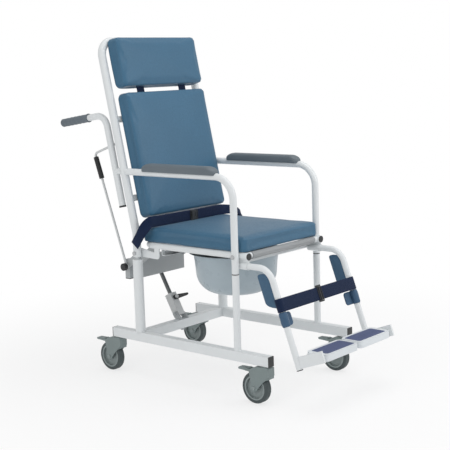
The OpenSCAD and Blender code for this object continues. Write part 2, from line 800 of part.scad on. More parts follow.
module frame_bolts() color("#9a9fa1") place() for (side = [-1, 1]) {
    translate([side * post_x, rear_post_y, tilt_z]) rotate([0, side * 90, 0]) {
        translate([0, 0, -back_d / 2 - web_t]) cylinder(d = bolt_d, h = back_d + web_t);
        translate([0, 0, back_d / 2]) cylinder(d = bolt_head_d, h = bolt_head_h);
        translate([0, 0, -back_d / 2 - web_t - bolt_head_h]) cylinder(d = bolt_head_d, h = bolt_head_h);
    }
    translate([side * post_x, front_post_y, seat_z]) rotate([0, side * 90, 0]) {
        translate([0, 0, seat_half - post_x]) cylinder(d = bolt_d, h = post_x - seat_half + arm_d / 2);
        translate([0, 0, arm_d / 2]) cylinder(d = bolt_head_d, h = bolt_head_h);
    }
}

// A cushion about the origin, its back flat at Z = 0: drawn-in sides, round edge, crowned face
sides = [[1, 1], [-1, 1], [-1, -1], [1, -1], [1, 1]];
function side_turn(q) = [cos(q), sin(q)];
function outline(a, b, r) = [for (q = [0:3]) let (
    hub = [sides[q][0] * (a - r), sides[q][1] * (b - r)],
    next = [sides[q + 1][0] * (a - r), sides[q + 1][1] * (b - r)]) each concat(
    [for (i = [0:corner_n]) hub + r * side_turn(90 * (q + i / corner_n))],
    [for (i = [1:side_n - 1]) hub + (next - hub) * i / side_n + r * side_turn(90 * (q + 1))])];
function ring(a, b, z, pull, r) = [for (p = outline(a, b, r)) let (x = p[0] / a, y = p[1] / b)
    [x * (a - pull * (1 - y * y)), y * (b - pull * (1 - x * x)), z]];
module cushion(w, l, t, crown) {
    rings = concat(
        [ring(w / 2 - edge_in, l / 2 - edge_in, 0, 0, corner_r - edge_in)],
        [ring(w / 2, l / 2, edge_in, 0, corner_r)],
        [ring(w / 2 - draw_in / 2, l / 2 - draw_in / 2, t / 2, draw_in / 2, corner_r)],
        [for (j = [0:turn_n]) let (q = 90 * j / turn_n, in = round_r * (1 - cos(q)))
            ring(w / 2 - in, l / 2 - in, t - round_r * (1 - sin(q)), draw_in * cos(q) / 2, corner_r - in)],
        [for (j = [1:crown_n - 1]) let (k = 1 - j / crown_n)
            ring((w / 2 - round_r) * k, (l / 2 - round_r) * k, t + crown * (1 - k * k), 0,
                (corner_r - round_r) * k)]);
    last = len(rings);
    points = concat([[0, 0, 0]], [for (r = rings) each r], [[0, 0, t + crown]]);
    faces = concat(
        [for (i = [0:ring_n - 1]) [0, 1 + i, 1 + (i + 1) % ring_n]],
        [for (k = [0:last - 2], i = [0:ring_n - 1], half = [0, 1]) let (
            a = 1 + k * ring_n + i, b = 1 + k * ring_n + (i + 1) % ring_n)
            half == 0 ? [a, a + ring_n, b + ring_n] : [a, b + ring_n, b]],
        [for (i = [0:ring_n - 1]) [1 + (last - 1) * ring_n + i, 1 + last * ring_n,
            1 + (last - 1) * ring_n + (i + 1) % ring_n]]);
    polyhedron(points, faces);
}

module seat_cushion() color("#4e748e") place()
    translate([0, seat_front_y + seat_inset + seat_l / 2, cushion_z])
        cushion(seat_w, seat_l, seat_t, seat_crown);

module back_cushion() color("#4e748e") back_plane()
    translate([0, -back_d / 2 - soft_gap, back_low + back_l / 2]) rotate([90, 0, 0])
        cushion(back_w, back_l, back_t, back_crown);

module head_cushion() color("#4e748e") back_plane()
    translate([0, -back_d / 2 - soft_gap, head_low + head_l / 2]) rotate([90, 0, 0])
        cushion(back_w, head_l, back_t, back_crown);

module head_straps() color("#2b3650") back_plane() for (side = [-1, 1])
    translate([side * head_strap_share * back_w / 2, -back_d / 2 - back_t / 2, head_low - head_gap / 2])
        cube([head_strap_w, strap_t, head_gap - 2 * soft_gap], center = true);

// Lap belt: it stands on the seat cushion in front of the back cushion, and its ends hang outside the frame.
// Each row of the table gives a place, as shares of half the belt's spread and of its width forward and
// down, and then the direction across the belt toward its upper edge
belt_x = post_x + back_d / 2 + bolt_head_h + belt_out;
belt_y = rear_post_y - belt_front;
belt_z = seat_top + belt_rest + belt_w / 2;
belt_shares = [
    [-1, -1.3, 2.11, 0, 0.81, 0.59],
    [-1, -0.85, 1.51, 0, 0.81, 0.59],
    [-0.985, -0.5, 0.95, -0.05, 0.76, 0.65],
    [-0.945, -0.25, 0.42, -0.3, 0.58, 0.76],
    [-0.87, -0.075, 0, -0.38, 0.25, 0.89],
    [-0.76, 0, -0.02, -0.08, 0.05, 0.99],
    [-0.15, 0, 0, 0, 0, 1],
    [0.25, 0, 0, 0, 0, 1],
    [0.584, 0, 0, 0, 0.12, 0.99],
    [0.763, 0.2, 0.04, 0.1, 0.5, 0.86],
    [0.903, 0.7, 0.2, 0.2, 0.7, 0.68],
    [0.984, 0.9, 0.79, 0.05, 0.55, 0.83],
    [1, 0.2, 1.39, 0, 0.5, 0.87],
    [1, -0.925, 2.04, 0, 0.5, 0.87]
];
belt_line = [for (q = belt_shares) [q[0] * belt_x, belt_y - q[1] * belt_w, belt_z - q[2] * belt_w]];
function unit(v) = v / norm(v);
module lap_belt() color("#2b3650") place() {
    n = len(belt_line);
    points = [for (k = [0:n - 1]) let (
        wide = unit([belt_shares[k][3], belt_shares[k][4], belt_shares[k][5]]),
        run = belt_line[min(k + 1, n - 1)] - belt_line[max(k - 1, 0)],
        thick = unit(cross(wide, run)))
        for (c = [[-1, -1], [1, -1], [1, 1], [-1, 1]])
            belt_line[k] + c[0] * wide * belt_w / 2 + c[1] * thick * strap_t / 2];
    faces = concat([[0, 2, 1], [0, 3, 2]],
        [for (k = [0:n - 2], i = [0:3], half = [0, 1]) let (a = 4 * k + i, b = 4 * k + (i + 1) % 4)
            half == 0 ? [a, b + 4, a + 4] : [a, b, b + 4]],
        [[4 * n - 4, 4 * n - 3, 4 * n - 2], [4 * n - 4, 4 * n - 2, 4 * n - 1]]);
    polyhedron(points, faces);
}

module lap_buckle() color("#232631") place()
    translate([buckle_share * belt_x, belt_y - strap_t / 2 - fit_gap - strap_t, belt_z])
        cube([belt_w, 2 * strap_t, belt_w], center = true);

// Release lever beside the back frame, on the sitter's right
bracket_x = lever_x - lever_d / 2 - web_t - run_gap;
bracket_mid = [lever_at[0] + bracket_back, lever_at[1] - bracket_h / 2 + bracket_up];

module release_bracket() color("#989e9f") place() difference() {
    union() {
        translate([-bracket_x - web_t / 2, 0, 0]) upright(web_t)
            link2d([rear_post_y, tilt_z], bracket_top_r, [bracket_mid[0], lever_at[1]], bracket_w / 2);
        translate([-bracket_x + bracket_in / 2, bracket_mid[0], bracket_mid[1]])
            box_tube([bracket_in, bracket_w, bracket_h], wall, 2);
        translate([-bracket_x + bracket_in / 2, bracket_mid[0], bracket_mid[1] + bracket_h / 2 - wall / 2])
            cube([bracket_in, bracket_w, wall], center = true);
        translate([-bracket_x, lever_at[0], lever_at[1]]) rotate([0, -90, 0])
            cylinder(d = bolt_d, h = web_t + 2 * run_gap + lever_d + fit_gap);
    }
    translate([-bracket_x, rear_post_y, tilt_z]) across(bolt_head_d + 2 * fit_gap, 4 * web_t);
}

module release_knob() color("#26282a") place() {
    translate([-lever_x - lever_d / 2 - run_gap, lever_at[0], lever_at[1]]) rotate([0, -90, 0]) {
        cylinder(d = knob_d - 2 * wall, h = wall);
        translate([0, 0, wall]) cylinder(d = knob_d, h = knob_h - 2 * wall);
        translate([0, 0, knob_h - wall]) cylinder(d = knob_d - 2 * wall, h = wall);
    }
    translate([-bracket_x + bracket_in / 2, bracket_mid[0], bracket_mid[1] - bracket_h / 2 - cap_t / 2])
        cube([bracket_in, bracket_w, cap_t], center = true);
    translate([-bracket_x + bracket_in / 2, bracket_mid[0], bracket_mid[1] - bracket_h / 2 + cap_insert / 2])
        cube([bracket_in - 2 * wall, bracket_w - 2 * wall, cap_insert], center = true);
}

module at_lever() place() translate([-lever_x, lever_at[0], lever_at[1]]) rotate([-lever_lean, 0, 0])
    children();

module release_lever() color("#c9cccb") difference() {
    at_lever() {
        across(2 * lever_hub_r, lever_d);
        rotate([0, 0, 180])
            sweep_steps(lever_d, [[lever_l], [lever_bend_r, 90], [lever_reach - lever_bend_r]]);
    }
    at_lever() across(bolt_d + pin_gap, lever_d + over);
}

module release_grip() color("#232526") at_lever() translate([0, 0, lever_l - lever_grip_l - fit_gap])
    difference() {
        cylinder(d = lever_grip_d, h = lever_grip_l);
        translate([0, 0, -over]) cylinder(d = lever_d + 2 * fit_gap, h = lever_grip_l + 2 * over);
    }

// Commode pan, open at the top, and the guides it slides along sideways
function pan_arc(r) = [for (i = [0:arc_n]) let (q = (90 - pan_draft) * i / arc_n - 90)
    [pan_bottom_d / 2 + r * cos(q), pan_round + r * sin(q)]];
module pan() color("#9fb0b8") place() translate([0, pan_y, pan_top - pan_depth]) rotate_extrude()
    polygon(concat([[0, 0]], pan_arc(pan_round), [
        [pan_mouth_d / 2, pan_depth - pan_flange_t], [pan_d / 2, pan_depth - pan_flange_t],
        [pan_d / 2, pan_depth], [pan_mouth_d / 2 - pan_wall, pan_depth]],
        [for (i = [arc_n:-1:0]) pan_arc(pan_round - pan_wall)[i]], [[0, pan_wall]]));

module pan_guides() color("#dfe3e3") place() difference() {
    for (way = [-1, 1]) translate([0, pan_y + way * (pan_d / 2 + run_gap), 0]) {
        low = pan_top - pan_flange_t - run_gap - guide_t;
        translate([-seat_half, way > 0 ? 0 : -guide_t, low])
            cube([2 * seat_half, guide_t, seat_z - low]);
        translate([-seat_half, way > 0 ? -guide_lip : 0, low]) cube([2 * seat_half, guide_lip, guide_t]);
    }
    for (side = [-1, 1]) translate([side * seat_half, pan_y, seat_z]) rotate([90, 0, 0])
        cylinder(d = seat_d, h = 2 * pan_d, center = true);
    translate([0, pan_y, seat_z])
        cube([2 * seat_half - seat_d - 2 * guide_seat, 2 * pan_d, 2 * (seat_z - pan_top - guide_seat)],
            center = true);
}

// Leg rest
module leg_line(d, lead) place() translate([0, leg_low_y, leg_low_z]) rotate([-leg_lean, 0, 0])
    translate([0, 0, -lead]) sweep_steps(d, [[leg_run - knee_cut + lead], [knee_r, 90 - leg_lean],
        [knee_reach + leg_stub - knee_cut + lead]]);

module at_plate_hinge(side) place() translate([side * hinge_x, plate_y, hinge_z]) children();

module leg(side) color("#eceeed") difference() {
    union() {
        translate([side * leg_x, 0, 0]) leg_line(leg_d, 0);
        place() translate([side * leg_x, 0, 0]) upright(foot_bar_t) translate([foot_bar_y, foot_bar_z])
            rotate(180 - leg_lean) translate([0, -foot_bar_h / 2]) square([foot_bar_l, foot_bar_h]);
        at_plate_hinge(side) {
            rotate([90, 0, 0]) cylinder(r = knuckle_r, h = knuckle_l, center = true);
            translate([side > 0 ? 0 : hinge_x - leg_x, -knuckle_l / 2, -knuckle_r])
                cube([leg_x - hinge_x, knuckle_l, knuckle_r]);
            rotate([90, 0, 0]) cylinder(d = plate_pin_d, h = plate_l - 2 * mat_in, center = true);
        }
    }
    translate([side * leg_x, 0, 0]) leg_line(leg_d - 2 * wall, over);
}

module footplate(side) color("#eceeed") difference() {
    union() {
        at_plate_hinge(side) mirror([side > 0 ? 1 : 0, 0, 0]) translate([plate_w / 2, 0, knuckle_r - plate_t])
            linear_extrude(plate_t) round_rect(plate_w, plate_l, plate_corner_r);
        at_plate_hinge(side) rotate([90, 0, 0])
            cylinder(r = knuckle_r, h = plate_l - 2 * plate_corner_r, center = true);
    }
    at_plate_hinge(side) {
        rotate([90, 0, 0]) cylinder(r = knuckle_r + plate_clear, h = knuckle_l + 2 * run_gap, center = true);
        translate([0, 0, -plate_t / 2])
            cube([2 * plate_clear, knuckle_l + 2 * run_gap, 2 * plate_t], center = true);
        rotate([90, 0, 0]) cylinder(d = plate_pin_d + pin_gap, h = plate_l, center = true);
    }
    mat_block(side, mat_sink, over);
}
module mat_block(side, t, up) at_plate_hinge(side) mirror([side > 0 ? 1 : 0, 0, 0])
    translate([knuckle_r + plate_clear + (plate_w - knuckle_r - plate_clear) / 2, 0,
        knuckle_r - mat_sink]) linear_extrude(t + up)
        round_rect(plate_w - knuckle_r - plate_clear - 2 * mat_in, plate_l - 2 * mat_in,
            plate_corner_r - mat_in);

module foot_mat(side) color("#5b6594") mat_block(side, mat_t, 0);

// Calf pads behind the leg tubes, each with a sleeve round its tube
module calf_pads() color("#4f7ba0") for (side = [-1, 1]) translate([side * leg_x, 0, 0]) {
    difference() {
        place() upright(calf_pad_t) calf_panel();
        leg_line(leg_d + 2 * soft_gap, 0);
    }
    place() translate([0, leg_y(calf_sleeve_low), calf_sleeve_low]) rotate([-leg_lean, 0, 0]) difference() {
        cylinder(d = leg_d + 2 * soft_gap + 2 * calf_sleeve_t, h = calf_sleeve_l);
        translate([0, 0, -over]) cylinder(d = leg_d + 2 * soft_gap, h = calf_sleeve_l + 2 * over);
    }
}

// The panel's outline follows the leaning tube and keeps its width
module calf_panel() {
    low = [leg_y(calf_pad_low), calf_pad_low];
    high = [leg_y(calf_pad_high), calf_pad_high];
    wide = [calf_pad_w, 0];
    flat = [calf_pad_r, 0];
    rise = calf_pad_r * [sin(leg_lean), cos(leg_lean)];
    edge = (rise - flat) * calf_edge_share;
    fall = (rise + flat) * calf_edge_share;
    polygon([low, low + wide - flat, low + wide + edge, low + wide + rise,
        high + wide - rise, high + wide - fall, high + wide - flat, high]);
}

module at_strap() place() translate([0, leg_y(strap_z), strap_z]) rotate([-leg_lean, 0, 0]) children();
strap_front = leg_d / 2 + soft_gap + strap_t / 2;
strap_side = strap_front + strap_t / 2;
strap_in = calf_pad_t / 2 + soft_gap;

module calf_strap() color("#2b3650") at_strap() {
    translate([0, -strap_front, 0]) cube([2 * (leg_x + strap_side), strap_t, strap_w], center = true);
    for (side = [-1, 1]) {
        translate([side * (leg_x + strap_front), 0, 0])
            cube([strap_t, 2 * strap_front + strap_t, strap_w], center = true);
        translate([side * (leg_x + (strap_side + strap_in) / 2), strap_front, 0])
            cube([strap_side - strap_in, strap_t, strap_w], center = true);
    }
}

module strap_buckle() color("#232631") at_strap() translate([0, -strap_front, 0]) difference() {
    cube([buckle_w, buckle_t + strap_t, buckle_h], center = true);
    cube([buckle_w + over, strap_t + 2 * soft_gap, strap_w + 2 * soft_gap], center = true);
}

module leg_plugs() color("#26282a") for (side = [-1, 1]) place()
    translate([side * leg_x, leg_low_y, leg_low_z]) rotate([180 - leg_lean, 0, 0]) {
        cylinder(d = leg_d, h = cap_t);
        translate([0, 0, -cap_insert]) cylinder(d = leg_d - 2 * wall, h = cap_insert);
    }

rail(-1);  // rail_right
rail(1);  // rail_left
rail_caps();
cross_tube();
rear_post(-1);  // rear_post_right
rear_post(1);  // rear_post_left
front_post(-1);  // front_post_right
front_post(1);  // front_post_left
post_stops();
strut_bracket();
fork(-1, -1);  // fork_front_right
fork(1, -1);  // fork_front_left
fork(-1, 1);  // fork_rear_right
fork(1, 1);  // fork_rear_left
hub(-1, -1);  // hub_front_right
hub(1, -1);  // hub_front_left
hub(-1, 1);  // hub_rear_right
hub(1, 1);  // hub_rear_left
tyre(-1, -1);  // tyre_front_right
tyre(1, -1);  // tyre_front_left
tyre(-1, 1);  // tyre_rear_right
tyre(1, 1);  // tyre_rear_left
pedal(-1, -1);  // pedal_front_right
pedal(1, -1);  // pedal_front_left
pedal(-1, 1);  // pedal_rear_right
pedal(1, 1);  // pedal_rear_left
strut_housing();
strut_rod();
strut_lever();
back_frame();
seat_frame();
tube_plugs();
side_frame(-1);  // side_frame_right
side_frame(1);  // side_frame_left
handle_grips();
armrest_pads();
frame_bolts();
strut_yoke();
seat_cushion();
back_cushion();
head_cushion();
head_straps();
lap_belt();
lap_buckle();
release_bracket();
release_knob();
release_lever();
release_grip();
pan();
pan_guides();
leg(-1);  // leg_right
leg(1);  // leg_left
calf_pads();
calf_strap();
strap_buckle();
leg_plugs();
footplate(-1);  // footplate_right
footplate(1);  // footplate_left
foot_mat(-1);  // foot_mat_right
foot_mat(1);  // foot_mat_left
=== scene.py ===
"""Looks of the transfer chair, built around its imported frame.

Numbers are mm of the part's drawing; at(), put() and shift() turn them into the frame's metres.
X runs to the sitter's left, Y to the back and Z up. A side is -1 for right and 1 for left.
"""
import math

import bmesh
import bpy
import numpy as np
from mathutils import Matrix, Vector


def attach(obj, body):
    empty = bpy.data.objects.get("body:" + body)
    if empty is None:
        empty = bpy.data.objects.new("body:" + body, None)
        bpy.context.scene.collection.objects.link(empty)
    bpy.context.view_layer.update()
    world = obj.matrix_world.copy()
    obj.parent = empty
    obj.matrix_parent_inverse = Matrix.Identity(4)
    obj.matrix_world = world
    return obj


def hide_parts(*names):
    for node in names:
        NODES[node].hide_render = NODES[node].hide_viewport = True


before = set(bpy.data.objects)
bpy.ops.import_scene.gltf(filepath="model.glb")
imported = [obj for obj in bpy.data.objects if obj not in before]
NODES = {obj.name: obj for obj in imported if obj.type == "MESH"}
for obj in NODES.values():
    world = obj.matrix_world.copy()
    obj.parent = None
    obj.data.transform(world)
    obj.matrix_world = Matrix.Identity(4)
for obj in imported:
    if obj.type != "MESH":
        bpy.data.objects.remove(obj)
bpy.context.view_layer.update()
MM = 0.001
SIDES = {-1: "right", 1: "left"}
ENDS = ("front", "rear")

# measures of the drawing that several pieces share
MID_Y = 17.616                      # the part's own shift of its length
TRACK_X = 236                       # rails, posts, arms and handles from the middle
LEG_X = 210                         # leg tubes from the middle
PIVOT_Y, PIVOT_Z = 240, 540         # tilt bolts, where the leaning back starts
RAIL_TOP = 172.3
FRONT_POST_Y, FRONT_POST_R = -233, 12.5
REAR_POST_R = 18.5
SEAT_FRONT_Y = -256                 # the axis of the seat's front rail
SEAT_TUBE_Z, SEAT_TUBE_R = 499, 12
BACK_TUBE_R, LEG_TUBE_R = 15, 11


def at(x, y, z):
    """A point of the part's drawing, in mm, as a point of the frame, in metres."""
    return Vector((x * MM, (y - MID_Y) * MM, z * MM))


def put(x, y, z):
    """The move that takes the frame's origin to a point of the drawing."""
    return Matrix.Translation(at(x, y, z))


def shift(x, y, z):
    """A move by so many mm."""
    return Matrix.Translation((x * MM, y * MM, z * MM))


FACE_FRONT = Matrix.Rotation(math.pi / 2, 4, "X")       # local Z turned to the front
LIE_ACROSS = Matrix.Rotation(math.pi / 2, 4, "Y")       # local Z turned to the side


# ---------------------------------------------------------------- camera
AZ, EL, ROLL = map(math.radians, (-49.24, 8.38, -1.84))
DIST, FOCAL, CX, CY, SIDE = 3.8808, 1047.65, 227.17, 220.43, 450
TARGET = at(0, 0, 576.9)


def make_camera():
    back = Vector((math.sin(AZ) * math.cos(EL), -math.cos(AZ) * math.cos(EL), math.sin(EL)))
    right = Vector((math.cos(AZ), math.sin(AZ), 0))
    up = back.cross(right)
    rr = right * math.cos(ROLL) + up * math.sin(ROLL)
    uu = -right * math.sin(ROLL) + up * math.cos(ROLL)
    data = bpy.data.cameras.new("camera")
    data.sensor_width = 36
    data.lens = FOCAL / SIDE * data.sensor_width
    data.shift_x = (SIDE / 2 - CX) / SIDE
    data.shift_y = (CY - SIDE / 2) / SIDE
    cam = bpy.data.objects.new("camera", data)
    bpy.context.scene.collection.objects.link(cam)
    turn = Matrix((rr, uu, back)).transposed().to_4x4()
    cam.matrix_world = Matrix.Translation(TARGET + back * DIST) @ turn
    bpy.context.scene.camera = cam


make_camera()

# ---------------------------------------------------------------- materials
class Nodes:
    """Short calls that add nodes to one tree."""

    def __init__(self, tree):
        self.tree = tree

    def add(self, kind, _props=None, **sockets):
        node = self.tree.nodes.new(kind)
        for key, value in (_props or {}).items():
            setattr(node, key, value)
        for key, value in sockets.items():
            self.put(node.inputs[key.replace("_", " ")], value)
        return node

    def put(self, socket, value):
        if isinstance(value, bpy.types.NodeSocket):
            self.tree.links.new(value, socket)
        else:
            socket.default_value = value

    def span(self, value, low, high, to_low, to_high, kind="LINEAR"):
        node = self.add("ShaderNodeMapRange", {"interpolation_type": kind}, Value=value)
        ends = ("From Min", low), ("From Max", high), ("To Min", to_low), ("To Max", to_high)
        for key, v in ends:
            node.inputs[key].default_value = v
        return node.outputs["Result"]

    def math(self, op, a, b=0.0, clamp=False):
        node = self.add("ShaderNodeMath", {"operation": op, "use_clamp": clamp})
        self.put(node.inputs[0], a)
        self.put(node.inputs[1], b)
        return node.outputs[0]


class Shade(Nodes):
    """A Principled material and the textures that feed it."""

    def __init__(self, name):
        self.mat = bpy.data.materials.new(name)
        self.mat.use_nodes = True
        super().__init__(self.mat.node_tree)
        self.bsdf = self.tree.nodes["Principled BSDF"]
        self.place = self.add("ShaderNodeTexCoord").outputs["Object"]

    def noise(self, scale, detail=3.0, rough=0.5, where=None):
        return self.add("ShaderNodeTexNoise", Vector=where or self.place, Scale=scale,
                        Detail=detail, Roughness=rough).outputs["Fac"]

    def mix(self, fac, a, b):
        node = self.add("ShaderNodeMix", {"data_type": "RGBA"})
        self.put(node.inputs["Factor"], fac)
        self.put(node.inputs[6], a)
        self.put(node.inputs[7], b)
        return node.outputs[2]

    def bump(self, height, distance, strength, normal=None):
        node = self.add("ShaderNodeBump", None, Height=height, Distance=distance,
                        Strength=strength)
        if normal is not None:
            self.put(node.inputs["Normal"], normal)
        return node.outputs["Normal"]

    def set(self, **sockets):
        for key, value in sockets.items():
            self.put(self.bsdf.inputs[key.replace("_", " ")], value)


def tone(rgb, k):
    return tuple(min(1.0, c * k) for c in rgb) + (1.0,)


def edge_round(s, radius):
    """A rounded normal at hard edges, and a mask of those edges."""
    soft = s.add("ShaderNodeBevel", {"samples": 4}, Radius=radius).outputs["Normal"]
    hard = s.add("ShaderNodeNewGeometry").outputs["Normal"]
    dot = s.add("ShaderNodeVectorMath", {"operation": "DOT_PRODUCT"})
    s.put(dot.inputs[0], soft)
    s.put(dot.inputs[1], hard)
    return soft, s.span(dot.outputs["Value"], 0.995, 0.80, 0.0, 1.0)


def hard_surface(name, rgb, rough, grain, grain_mm, edge_mm, blotch, wear=None, wear_amount=0.5,
                 metallic=0.0, coat=0.0, scratch=False):
    """Paint, moulded plastic or metal: cloudy colour, fine surface, rounded and worn edges."""
    s = Shade(name)
    cloud = s.span(s.noise(9.0, 4.0), 0.3, 0.7, 0.0, 1.0)
    colour = s.mix(cloud, tone(rgb, 1 - blotch), tone(rgb, 1 + blotch))
    soft, edge = edge_round(s, edge_mm * MM)
    if wear:
        patch = s.span(s.noise(60.0, 5.0, 0.65), 0.52, 0.66, 0.0, 1.0)
        mask = s.math("MULTIPLY", s.math("MULTIPLY", edge, patch), wear_amount, True)
        colour = s.mix(mask, colour, tone(wear, 1))
    if scratch:
        stretched = s.add("ShaderNodeMapping", None, Vector=s.place)
        stretched.inputs["Scale"].default_value = (1.0, 1.0, 0.04)
        fine = s.noise(grain, 2.0, 0.6, stretched.outputs["Vector"])
    else:
        fine = s.noise(grain, 2.0)
    s.set(Base_Color=colour, Metallic=metallic, Coat_Weight=coat, Coat_Roughness=0.25,
          Roughness=s.span(s.noise(35.0, 4.0), 0.3, 0.7, rough - 0.05, rough + 0.06),
          Normal=s.bump(fine, grain_mm * MM, 0.6, soft))
    return s.mat


def vinyl(name, rgb, grain=950.0, rough=0.42):
    """Coated upholstery: fine leather grain, soft sheen, a groove by the mesh's seam value with
    painted shade in it.
    """
    s = Shade(name)
    cells = s.add("ShaderNodeTexVoronoi", {"feature": "SMOOTH_F1"}, Vector=s.place, Scale=grain)
    cells.inputs["Smoothness"].default_value = 0.6
    broad = s.noise(5.0, 3.0)
    mottle = s.noise(170.0, 3.0)
    colour = s.mix(s.span(broad, 0.3, 0.7, 0.0, 1.0), tone(rgb, 0.95), tone(rgb, 1.05))
    colour = s.mix(s.span(mottle, 0.4, 0.6, 0.0, 0.35), colour, tone(rgb, 0.86))
    groove = s.add("ShaderNodeAttribute", {"attribute_name": "seam"}).outputs["Fac"]
    # painted shade: the colour darkens along the seam groove, on top of the groove's bump
    colour = s.mix(s.math("MULTIPLY", groove, 0.45), colour, tone(rgb, 0.45))
    leather = s.math("MULTIPLY", cells.outputs["Distance"], 0.25)
    height = s.math("ADD", leather, s.noise(26.0, 4.0, 0.6))
    height = s.math("SUBTRACT", height, s.math("MULTIPLY", groove, 1.2))
    s.set(Base_Color=colour, Roughness=s.span(mottle, 0.3, 0.7, rough - 0.05, rough + 0.07),
          Normal=s.bump(height, 0.6 * MM, 0.55), Sheen_Weight=0.12, Sheen_Roughness=0.4,
          Specular_IOR_Level=0.45)
    return s.mat


def webbing(name, rgb, pitch=1.6):
    """Woven strap: a herringbone in the strap's own length and width, with a little lint."""
    s = Shade(name)
    uv = s.add("ShaderNodeUVMap", {"uv_map": "strap"}).outputs["UV"]
    split = s.add("ShaderNodeSeparateXYZ", None, Vector=uv)
    across, along = split.outputs["X"], split.outputs["Y"]
    slant = s.math("ADD", along, s.math("PINGPONG", across, 5.0 * MM))
    twill = s.math("SINE", s.math("MULTIPLY", slant, 2 * math.pi / (pitch * MM)))
    thread = s.math("SINE", s.math("MULTIPLY", across, 2 * math.pi / (0.8 * MM)))
    weave = s.math("ADD", s.math("MULTIPLY", twill, 0.6), s.math("MULTIPLY", thread, 0.4))
    fuzz = s.noise(900.0, 2.0)
    broad = s.noise(14.0, 3.0)
    colour = s.mix(s.span(weave, -1.0, 1.0, 0.0, 1.0), tone(rgb, 0.72), tone(rgb, 1.25))
    colour = s.mix(s.span(broad, 0.35, 0.65, 0.0, 0.3), colour, tone(rgb, 0.8))
    height = s.math("ADD", weave, s.math("MULTIPLY", fuzz, 0.6))
    s.set(Base_Color=colour, Roughness=s.span(fuzz, 0.3, 0.7, 0.68, 0.82),
          Normal=s.bump(height, 0.25 * MM, 0.7), Sheen_Weight=0.06, Sheen_Roughness=0.5,
          Specular_IOR_Level=0.2)
    return s.mat


WHITE = (0.79, 0.82, 0.832)
BARE = (0.42, 0.42, 0.41)
M = {
    # name, colour, roughness, grain, its depth in mm, edge radius in mm, blotch, worn colour
    "paint": hard_surface("frame_paint", WHITE, 0.36, 520, 0.03, 1.6, 0.015, BARE, 0.35,
                          coat=0.15),
    "tread_plastic": hard_surface("footplate_plastic", (0.74, 0.78, 0.81), 0.33, 900, 0.015, 2.0,
                                  0.02, (0.5, 0.5, 0.5), 0.3),
    "black": hard_surface("black_plastic", (0.026, 0.028, 0.030), 0.48, 1300, 0.03, 0.8, 0.1,
                          (0.12, 0.12, 0.12)),
    "black_rubber": hard_surface("black_rubber", (0.024, 0.026, 0.027), 0.66, 1500, 0.04, 0.6,
                                 0.12, (0.09, 0.09, 0.09)),
    # painted shade: a grey copy of the frame's white paint, for the brackets and yoke that sit in
    # shade below the seat
    "grey_paint": hard_surface("grey_paint", (0.44, 0.465, 0.475), 0.42, 600, 0.03, 0.8, 0.03,
                               BARE),
    "alloy": hard_surface("cast_alloy", (0.56, 0.575, 0.58), 0.40, 800, 0.02, 1.5, 0.03,
                          (0.7, 0.7, 0.7), metallic=0.25, scratch=True),
    "cover": hard_surface("grey_cover", (0.33, 0.345, 0.355), 0.38, 900, 0.02, 0.6, 0.04,
                          (0.5, 0.5, 0.5), metallic=0.2, scratch=True),
    "rod": hard_surface("dark_rod", (0.16, 0.17, 0.175), 0.36, 900, 0.01, 0.4, 0.08,
                        (0.3, 0.3, 0.3), metallic=0.4, scratch=True),
    "steel": hard_surface("bolt_steel", (0.50, 0.51, 0.52), 0.30, 900, 0.01, 0.6, 0.06,
                          metallic=0.9),
    "lever": hard_surface("lever_paint", (0.68, 0.70, 0.705), 0.35, 700, 0.02, 0.5, 0.02, BARE,
                          coat=0.2),
    "caster": hard_surface("caster_plastic", (0.215, 0.262, 0.262), 0.44, 1100, 0.03, 1.0, 0.05,
                           (0.36, 0.40, 0.40), 0.6),
    "hub": hard_surface("hub_plastic", (0.27, 0.315, 0.315), 0.44, 1100, 0.03, 0.9, 0.05,
                        (0.4, 0.44, 0.44)),
    "tyre": hard_surface("tyre_rubber", (0.062, 0.08, 0.083), 0.62, 900, 0.06, 1.0, 0.12,
                         (0.16, 0.17, 0.17)),
    "grip": hard_surface("grip_rubber", (0.135, 0.165, 0.192), 0.60, 1000, 0.06, 1.0, 0.06,
                         (0.22, 0.25, 0.28)),
    "arm_foam": hard_surface("arm_foam", (0.138, 0.168, 0.192), 0.52, 1300, 0.08, 1.5, 0.06,
                             (0.22, 0.25, 0.26)),
    "pan": hard_surface("pan_plastic", (0.40, 0.475, 0.52), 0.30, 500, 0.02, 1.0, 0.03),
    "mat": hard_surface("mat_rubber", (0.072, 0.096, 0.205), 0.62, 1200, 0.08, 0.8, 0.08,
                        (0.2, 0.22, 0.36)),
    # near-black material for the faces of each pad's flat back
    "under": hard_surface("near_black_underside", (0.02, 0.022, 0.026), 0.85, 2200, 0.1, 0.5, 0.15),
    "vinyl": vinyl("seat_vinyl", (0.044, 0.142, 0.242)),
    "calf": vinyl("calf_vinyl", (0.045, 0.115, 0.20), 1100.0, 0.5),
    "sleeve": vinyl("sleeve_vinyl", (0.042, 0.105, 0.195), 1100.0, 0.55),
    "web": webbing("navy_web", (0.006, 0.018, 0.058)),
}


def paint(mat, *names):
    for name in names:
        obj = NODES[name]
        if not obj.material_slots:
            obj.data.materials.append(M[mat])
        for slot in obj.material_slots:
            slot.material = M[mat]


